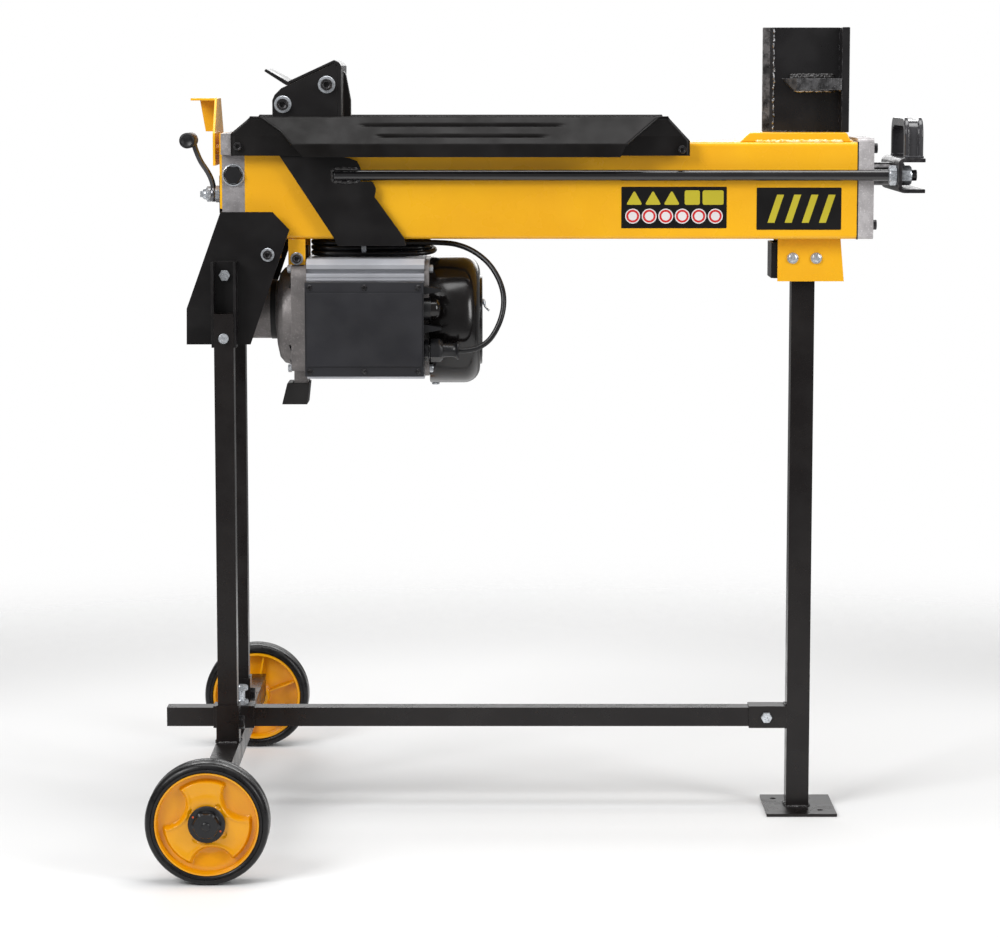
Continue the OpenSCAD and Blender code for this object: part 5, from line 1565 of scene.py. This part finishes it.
@dataclass
class TerminalBox(Assembly):
    """The terminal box beside the motor, with its switch and its cable gland."""

    def build(self) -> None:
        """Makes the box, the lid, the switch and the gland."""
        shop = self.shop
        shop.refine("terminal_box", "frame", BOX_PLASTIC, 1.4 * MM, segments=3)
        shop.refine("terminal_lid", "frame", LID, 0.8 * MM)
        shop.refine("switch_housing", "frame", BOX_PLASTIC, 0.9 * MM)
        low, high = shop.box("switch_button")
        r, long = (high[2] - low[2]) / 2, high[0] - low[0]
        profile = [(0.0, 0.0), (r, 0.0), (r, long - 8 * MM)]
        for k in range(1, 9):
            a = math.radians(90 * k / 8)
            profile.append((r - 7.5 * MM * (1 - math.cos(a)), long - 8 * MM + 8 * MM * math.sin(a)))
        profile.append((0.0, long - 0.2 * MM))
        mid = (low + high) / 2
        shape = Shape().turned(profile, Axis.X, (low[0], mid[1], mid[2]), 48)
        shop.fit(shape.piece("switch_button_cap", GLOSS, sharp=60), "button", "switch_button")
        x = shop.high("terminal_box")[0]
        y, z = shop.mid("cable_gland")[1], shop.mid("cable_gland")[2]
        gland = Shape()
        hexes = [(Ring.ROUND, 7.9, -6), (Ring.ROUND, 7.9, 0), (Ring.ROUND, 11.6, 0), (Ring.HEX, 12, 0.8),
                 (Ring.HEX, 12, 5.4), (Ring.ROUND, 11.6, 6), (Ring.ROUND, 10, 6.2), (Ring.ROUND, 10, 8),
                 (Ring.ROUND, 12.4, 8), (Ring.HEX, 13, 9), (Ring.HEX, 13, 19), (Ring.HEX, 12.2, 21.5),
                 (Ring.ROUND, 11.2, 24), (Ring.ROUND, 9.2, 24), (Ring.ROUND, 8.7, 28), (Ring.ROUND, 8.3, 33),
                 (Ring.ROUND, 8.4, 37), (Ring.ROUND, 9.4, 40.5), (Ring.ROUND, 11.9, 42.8),
                 (Ring.ROUND, 12, 43.8), (Ring.ROUND, 11.2, 44), (Ring.ROUND, 7.2, 41.5), (Ring.ROUND, 3.7, 40)]
        gland.stack([(kind, r * MM, d * MM) for kind, r, d in hexes], Axis.X, (x, y, z), 36)
        shop.fit(gland.piece("cable_gland_made", BOX_PLASTIC), "frame", "cable_gland")


# ---------------------------------------------------------------- controls


@dataclass
class Controls(Assembly):
    """The hand guard and the valve lever with its grip."""

    rod: float = 3.5 * MM
    valve_y: float = -38 * MM

    def build(self) -> None:
        """Makes the guard, the lever and the grip."""
        shop = self.shop
        shop.refine("hand_guard", "frame", YELLOW, 1.3 * MM, segments=3)
        shop.refine("valve_spool", "lever", ZINC, 0.6 * MM)
        grip_low, grip_high = shop.box("lever_grip")
        spool = shop.low("valve_spool")
        y, z = self.valve_y, shop.mid("valve_spool")[2]
        centre = (grip_low + grip_high) / 2
        route = [(17, 8), (15, 17), (10, 28), (1, 42), (-5, 56), (-8, 66)]
        path = [Vector((spool[0] + a * MM, y, z + b * MM)) for a, b in route]
        path.append(Vector((centre[0] + 2 * MM, y, centre[2])))
        arm = Shape().tube(smooth_path(path, 6), lambda i: self.rod, 16)
        eye = [(6.0, 0), (9.2, 0), (10, 0.8), (10, 5.2), (9.2, 6), (6.0, 6)]
        arm.turned([(r * MM, (14 + d) * MM) for r, d in eye], Axis.X, (spool[0], y, z), 32)
        shop.fit(arm.piece("lever_arm_made", STEEL, sharp=60), "lever", "lever_arm")
        dome = Shape()
        rows = [(Ring.ROUND, 9, 14), (Ring.HEX, 8.6, 13.4), (Ring.HEX, 8.6, 9), (Ring.ROUND, 8.4, 8.2),
                (Ring.ROUND, 7.2, 7.6), (Ring.ROUND, 6.9, 5.4), (Ring.ROUND, 5.4, 3.4), (Ring.ROUND, 3.0, 2.2),
                (Ring.ROUND, 0.2, 1.8)]
        dome.stack([(kind, r * MM, d * MM) for kind, r, d in rows], Axis.X, (spool[0], y, z))
        shop.fit(dome.piece("lever_dome_nut", ZINC), "lever", slot="zinc")
        r, long = (grip_high[2] - grip_low[2]) / 2, grip_high[1] - grip_low[1]
        profile = [(0, 0.8), (6.2, 0.8), (6.8, 0.1), (r / MM - 2.2, 0), (r / MM - 0.6, 0.7), (r / MM, 2.4),
                   (r / MM, long / MM - 2.4), (r / MM - 0.8, long / MM - 0.6), (r / MM - 2.4, long / MM),
                   (0, long / MM)]
        grip = Shape().turned([(a * MM, b * MM) for a, b in profile], Axis.Y,
                              (centre[0], grip_low[1], centre[2]), 40)
        shop.fit(grip.piece("lever_grip_made", GRIP, sharp=50), "lever", "lever_grip")
        head = shop.low("pump_head")
        corners = [(y * MM, z * MM) for y, z in ((-52, 791), (52, 791), (52, 839), (-52, 839))]
        plate = Shape().prism(corners, head[0] - 4.4 * MM, head[0] - 3.0 * MM, Axis.X)
        shop.fit(plate.piece("valve_plate", BLACK, bevel=0.4 * MM), "frame", slot="black_paint")


# ---------------------------------------------------------------- stand


@dataclass
class Stand(Assembly):
    """The legs, the axle tube, the tie rail and the foot plate."""

    corner: float = 1.5 * MM

    def welds(self) -> None:
        """Makes the weld beads where the stand's tubes meet."""
        shop = self.shop
        shape = Shape()
        foot = shop.high("foot_plate")[2]
        leg_x, half = shop.mid("foot_plate")[0] - 2.5 * MM, 15 * MM
        for k, (dx, dy) in enumerate(((-1, -1), (1, -1), (1, 1), (-1, 1))):
            ex, ey = ((1, -1), (1, 1), (-1, 1), (-1, -1))[k]
            shape.bead((leg_x + dx * half, dy * half, foot), (leg_x + ex * half, ey * half, foot),
                       2.6 * MM, 60 + k)
        rail_z = shop.mid("tie_rail")[2]
        for k, dz in enumerate((-14.5, 14.5)):
            shape.bead((leg_x - half - 1 * MM, -12 * MM, rail_z + dz * MM),
                       (leg_x - half - 1 * MM, 12 * MM, rail_z + dz * MM), 2.0 * MM, 70 + k)
        axle = shop.mid("axle_tube")
        top = shop.low("tie_rail")[2] - 2 * MM
        for side in (-1, 1):
            for dx in (-14.5, 14.5):
                shape.bead((axle[0] + dx * MM, side * 81 * MM, top), (axle[0] + dx * MM, side * 108 * MM, top),
                           2.2 * MM, int(90 + dx + side))
            shape.bead((axle[0] - 13 * MM, side * 109 * MM, top), (axle[0] + 13 * MM, side * 109 * MM, top),
                       2.2 * MM, 95 + side)
        shop.fit(shape.piece("stand_welds", BLACK_WELD, sharp=80), "frame", slot="black_paint")

    def domes(self) -> None:
        """Makes the domed heads of the front leg's bolts."""
        shop = self.shop
        shape = Shape()
        mid = shop.mid("foot_plate")[0] - 2.5 * MM
        z = shop.low("beam")[2] - 26 * MM
        for side in (-1, 1):
            for dx in (-15.5, 15):
                profile = [(0.0, 0.0), (7.5, 0.0), (7.5, 0.6)]
                profile += [(7.5 * math.cos(a), 0.6 + 3.4 * math.sin(a))
                            for a in (math.radians(15 * k) for k in range(1, 7))]
                shape.turned([(r * MM, side * d * MM) for r, d in profile], Axis.Y,
                             (mid + dx * MM, side * 32.5 * MM, z), 32)
        shop.fit(shape.piece("bracket_dome_heads", ZINC, sharp=50), "frame", slot="zinc")

    def build(self) -> None:
        """Makes the stand."""
        shop = self.shop
        shop.refine("beam_brackets", "frame", YELLOW, 0.9 * MM)
        shop.refine("leg_cover", "frame", BLACK, 0.8 * MM)
        for node in ("rear_legs", "axle_tube", "tie_rail", "front_leg"):
            shop.refine(node, "frame", TUBE_BLACK, self.corner)
        shop.refine("foot_plate", "frame", TUBE_BLACK, 0.6 * MM)
        bolts = shop.refine("stand_bolts", "frame", ZINC, 0.7 * MM)
        bolts.data.materials.append(SOCKET_BLACK.material())
        rail = shop.high("tie_rail")[2] + 2 * MM
        for face in bolts.data.polygons:
            if face.center.z < rail + 20 * MM and abs(face.center.y) > 50 * MM:
                face.material_index = 1
        clamp = Shape()
        x = shop.mid("axle_tube")[0] + 10 * MM
        hex_head(clamp, Axis.Z, (x, 0, rail + 19 * MM), 1.0, 14 * MM, 7 * MM)
        clamp.rod(4 * MM, 20 * MM, Axis.Z, (x, 0, rail - 0.5 * MM), 20)
        hex_head(clamp, Axis.Z, (x, 0, rail - 0.3 * MM), 1.0, 15 * MM, 7 * MM)
        shop.fit(clamp.piece("rail_clamp_bolt", ZINC), "frame", slot="zinc")
        self.welds()
        self.domes()


@dataclass
class Wheels(Assembly):
    """The two wheels with their scalloped rims."""

    bolt: float = 8.06 * MM
    seat: float = 63 * MM
    scallops: int = 3
    scallop_at: float = 56 * MM
    scallop_r: float = 27 * MM
    rings: int = 60
    spokes: int = 216

    def relief(self, r: float, angle: float, rim: float) -> float:
        """Returns how far the web stands out of the wheel's middle plane.

        Args:
            r: Distance from the axle.
            angle: Angle around the axle.
            rim: Radius of the rim.
        """
        floor = 4.0 * MM + 3.5 * MM * ease(r, 0.55 * rim, 0.92 * rim)
        step = 2 * math.pi / self.scallops
        raised = 1.0 - ease(r, 0.80 * rim, 0.86 * rim)
        for k in range(self.scallops):
            a = angle - (math.radians(38) + k * step)
            away = math.hypot(r * math.cos(a) - self.scallop_at, r * math.sin(a))
            twist = 2.5 * MM * math.sin(a)
            raised *= ease(away + twist, self.scallop_r - 1.6 * MM, self.scallop_r + 2.0 * MM)
            ridge = math.exp(-((away + twist - self.scallop_r - 3.0 * MM) / (1.8 * MM)) ** 2)
            floor += 1.3 * MM * ridge * (1.0 - ease(r, 0.74 * rim, 0.84 * rim))
        height = floor + (9.0 * MM - 1.6 * MM * ease(r, 26 * MM, 0.8 * rim)) * raised
        for k in range(4):
            a = angle - math.radians(56 + 90 * k)
            pit = 9.0
            if math.cos(a) > 0:
                pit = math.hypot((r - 24.5 * MM) / (2.6 * MM), r * math.sin(a) / (4.2 * MM))
            height -= 1.5 * MM * (1.0 - ease(pit, 0.6, 1.3))
        lip = ease(r, rim - 3.6 * MM, rim - 2.6 * MM)
        return height * (1 - lip) + 18.6 * MM * lip

    def rim(self, node: str, body: str, side: int) -> None:
        """Makes one rim.

        Args:
            node: The part that it stands for.
            body: The body that it rides on.
            side: -1 for the near wheel and 1 for the far one.
        """
        shop = self.shop
        low, high = shop.box(node)
        mid = shop.mid(f"tyre_{node[4:]}")
        rim, bore = (high[2] - low[2]) / 2, self.bolt
        shape = Shape()

        def spot(r: float, k: int, out: float) -> Vector:
            """Returns a point of the rim at a radius, a step around and a place outwards."""
            a = 2 * math.pi * k / self.spokes
            return Vector((mid[0] + r * math.cos(a), mid[1] + side * out, mid[2] + r * math.sin(a)))

        rings = []
        for j in range(self.rings + 1):
            r = bore + (rim - 0.2 * MM - bore) * j / self.rings
            rings.append([spot(r, k, self.relief(r, 2 * math.pi * k / self.spokes, rim))
                          for k in range(self.spokes)])
        back = [(rim, 17.6), (rim, -17.6), (rim - 0.8 * MM, -18.6), (rim - 3.4 * MM, -18.6), (rim - 4.2 * MM, -17),
                (rim - 6 * MM, -2.5), (22 * MM, 0.5), (19 * MM, -1), (17.6 * MM, -26), (16.8 * MM, -27), (bore, -27)]
        for r, out in back:
            rings.append([spot(r, k, out * MM) for k in range(self.spokes)])
        shape.loft(rings, closed=True)
        shop.fit(shape.piece(f"{node}_moulding", RIM, sharp=50), body, node)
        ribs = Shape()
        for k in range(6):
            a = math.radians(60 * k + 20)
            out, across = Vector((math.cos(a), 0, math.sin(a))), Vector((-math.sin(a), 0, math.cos(a)))
            points = [(18 * MM, -15), (rim - 5 * MM, -12), (rim - 5 * MM, -1.5), (18 * MM, 1.5)]
            ribs.loft([[mid + out * r + across * shift * MM + Vector((0, side * d * MM, 0)) for r, d in points]
                       for shift in (-1.3, 1.3)])
        shop.fit(ribs.piece(f"{node}_ribs", RIM, bevel=0.4 * MM), body, slot="rim_plastic")

    def tyre(self, node: str, body: str) -> None:
        """Makes one tyre with its moulded rings.

        Args:
            node: The part that it stands for.
            body: The body that it rides on.
        """
        shop = self.shop
        low, high = shop.box(node)
        mid = shop.mid(node)
        r, half, seat = (high[2] - low[2]) / 2, (high[1] - low[1]) / 2, self.seat
        edge = [(seat, half - 3 * MM), (seat + 0.6 * MM, half - 1.2 * MM), (seat + 2.2 * MM, half - 0.2 * MM),
                (seat + 4 * MM, half), (seat + 4.6 * MM, half - 0.7 * MM), (seat + 5.2 * MM, half - 0.1 * MM),
                (seat + 7.2 * MM, half - 0.6 * MM), (seat + 9.2 * MM, half - 1.6 * MM),
                (seat + 10.6 * MM, half - 3.2 * MM), (seat + 11.5 * MM, half - 5.4 * MM), (r, half - 8.0 * MM)]
        tread = [(r, half - 11 * MM), (r - 0.5 * MM, half - 11.4 * MM), (r - 0.5 * MM, half - 12 * MM),
                 (r, half - 12.4 * MM), (r, 1.0 * MM), (r - 0.3 * MM, 0.4 * MM)]
        profile = edge + tread
        profile += [(a, -b) for a, b in reversed(profile)]
        rings = []
        for a, b in profile:
            rings.append([Vector((mid[0] + a * math.cos(t), mid[1] + b, mid[2] + a * math.sin(t)))
                          for t in (2 * math.pi * k / 128 for k in range(128))])
        shape = Shape().loft(rings, closed=True)
        shop.fit(shape.piece(f"{node}_tread", TYRE, sharp=40), body, node)

    def bolts(self) -> None:
        """Makes the wheel bolts with their cover washers."""
        shop = self.shop
        shape, red = Shape(), Shape()
        reach = abs(shop.mid("tyre_near")[1])
        x, z = shop.mid("tyre_near")[0], shop.mid("tyre_near")[2]
        inner = reach - 33 * MM
        for side in (-1, 1):
            base = side * (reach + 15.4 * MM)
            rows = [(Ring.ROUND, 22.0, 0), (Ring.ROUND, 22.6, 0.6), (Ring.ROUND, 22.6, 2.2), (Ring.ROUND, 21.6, 3.1),
                    (Ring.ROUND, 16.4, 3.1), (Ring.HEX, 15.4, 3.6), (Ring.HEX, 15.2, 10.8), (Ring.ROUND, 14.4, 12.6),
                    (Ring.ROUND, 5.2, 12.6), (Ring.ROUND, 4.9, 13.8), (Ring.ROUND, 4.0, 14.4), (Ring.ROUND, 0.2, 14.6)]
            shape.stack([(kind, r * MM, side * d * MM) for kind, r, d in rows], Axis.Y, (x, base, z), 36)
            long = reach + 15.5 * MM - inner
            shape.rod(7.95 * MM, -side * long, Axis.Y, (x, base, z), 32)
            for turn in (150, 335):
                a = math.radians(turn)
                at = (x + 18.5 * MM * math.cos(a), base + side * 2.6 * MM, z + 18.5 * MM * math.sin(a))
                red.turned([(0, 0), (1.5 * MM, 0), (1.2 * MM, side * 0.9 * MM), (0, side * 0.9 * MM)], Axis.Y, at, 12)
        shop.fit(shape.piece("wheel_bolts_made", BOX_PLASTIC, sharp=28), "frame", "wheel_bolts")
        shop.fit(red.piece("wheel_bolt_keys", RED_BUSH), "frame")

    def build(self) -> None:
        """Makes both wheels."""
        for side, name in ((-1, "near"), (1, "far")):
            self.rim(f"rim_{name}", f"wheel_{name}", side)
            self.tyre(f"tyre_{name}", f"wheel_{name}")
        self.bolts()


# ---------------------------------------------------------------- assembly


def main() -> None:
    """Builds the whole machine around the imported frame."""
    logging.basicConfig(level=logging.INFO, format="%(name)s: %(message)s")
    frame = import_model()
    slots = {part["node"]: part["material_slot"] for part in frame["record"]["subparts"]}
    shop = Workshop(frame["nodes"], slots)
    studio = Studio()
    studio.camera()
    for kind in (MainsCord, BeamEnd, Wedge, Hydraulics, LogWings, Ram, Motor, TerminalBox, Controls, Stand,
                 Wheels):
        kind(shop).build()
    left = sorted(set(frame["nodes"]) - shop.done)
    LOG.info("parts with no finish yet: %s", left)
    studio.stage()


if __name__ == "__main__":
    main()
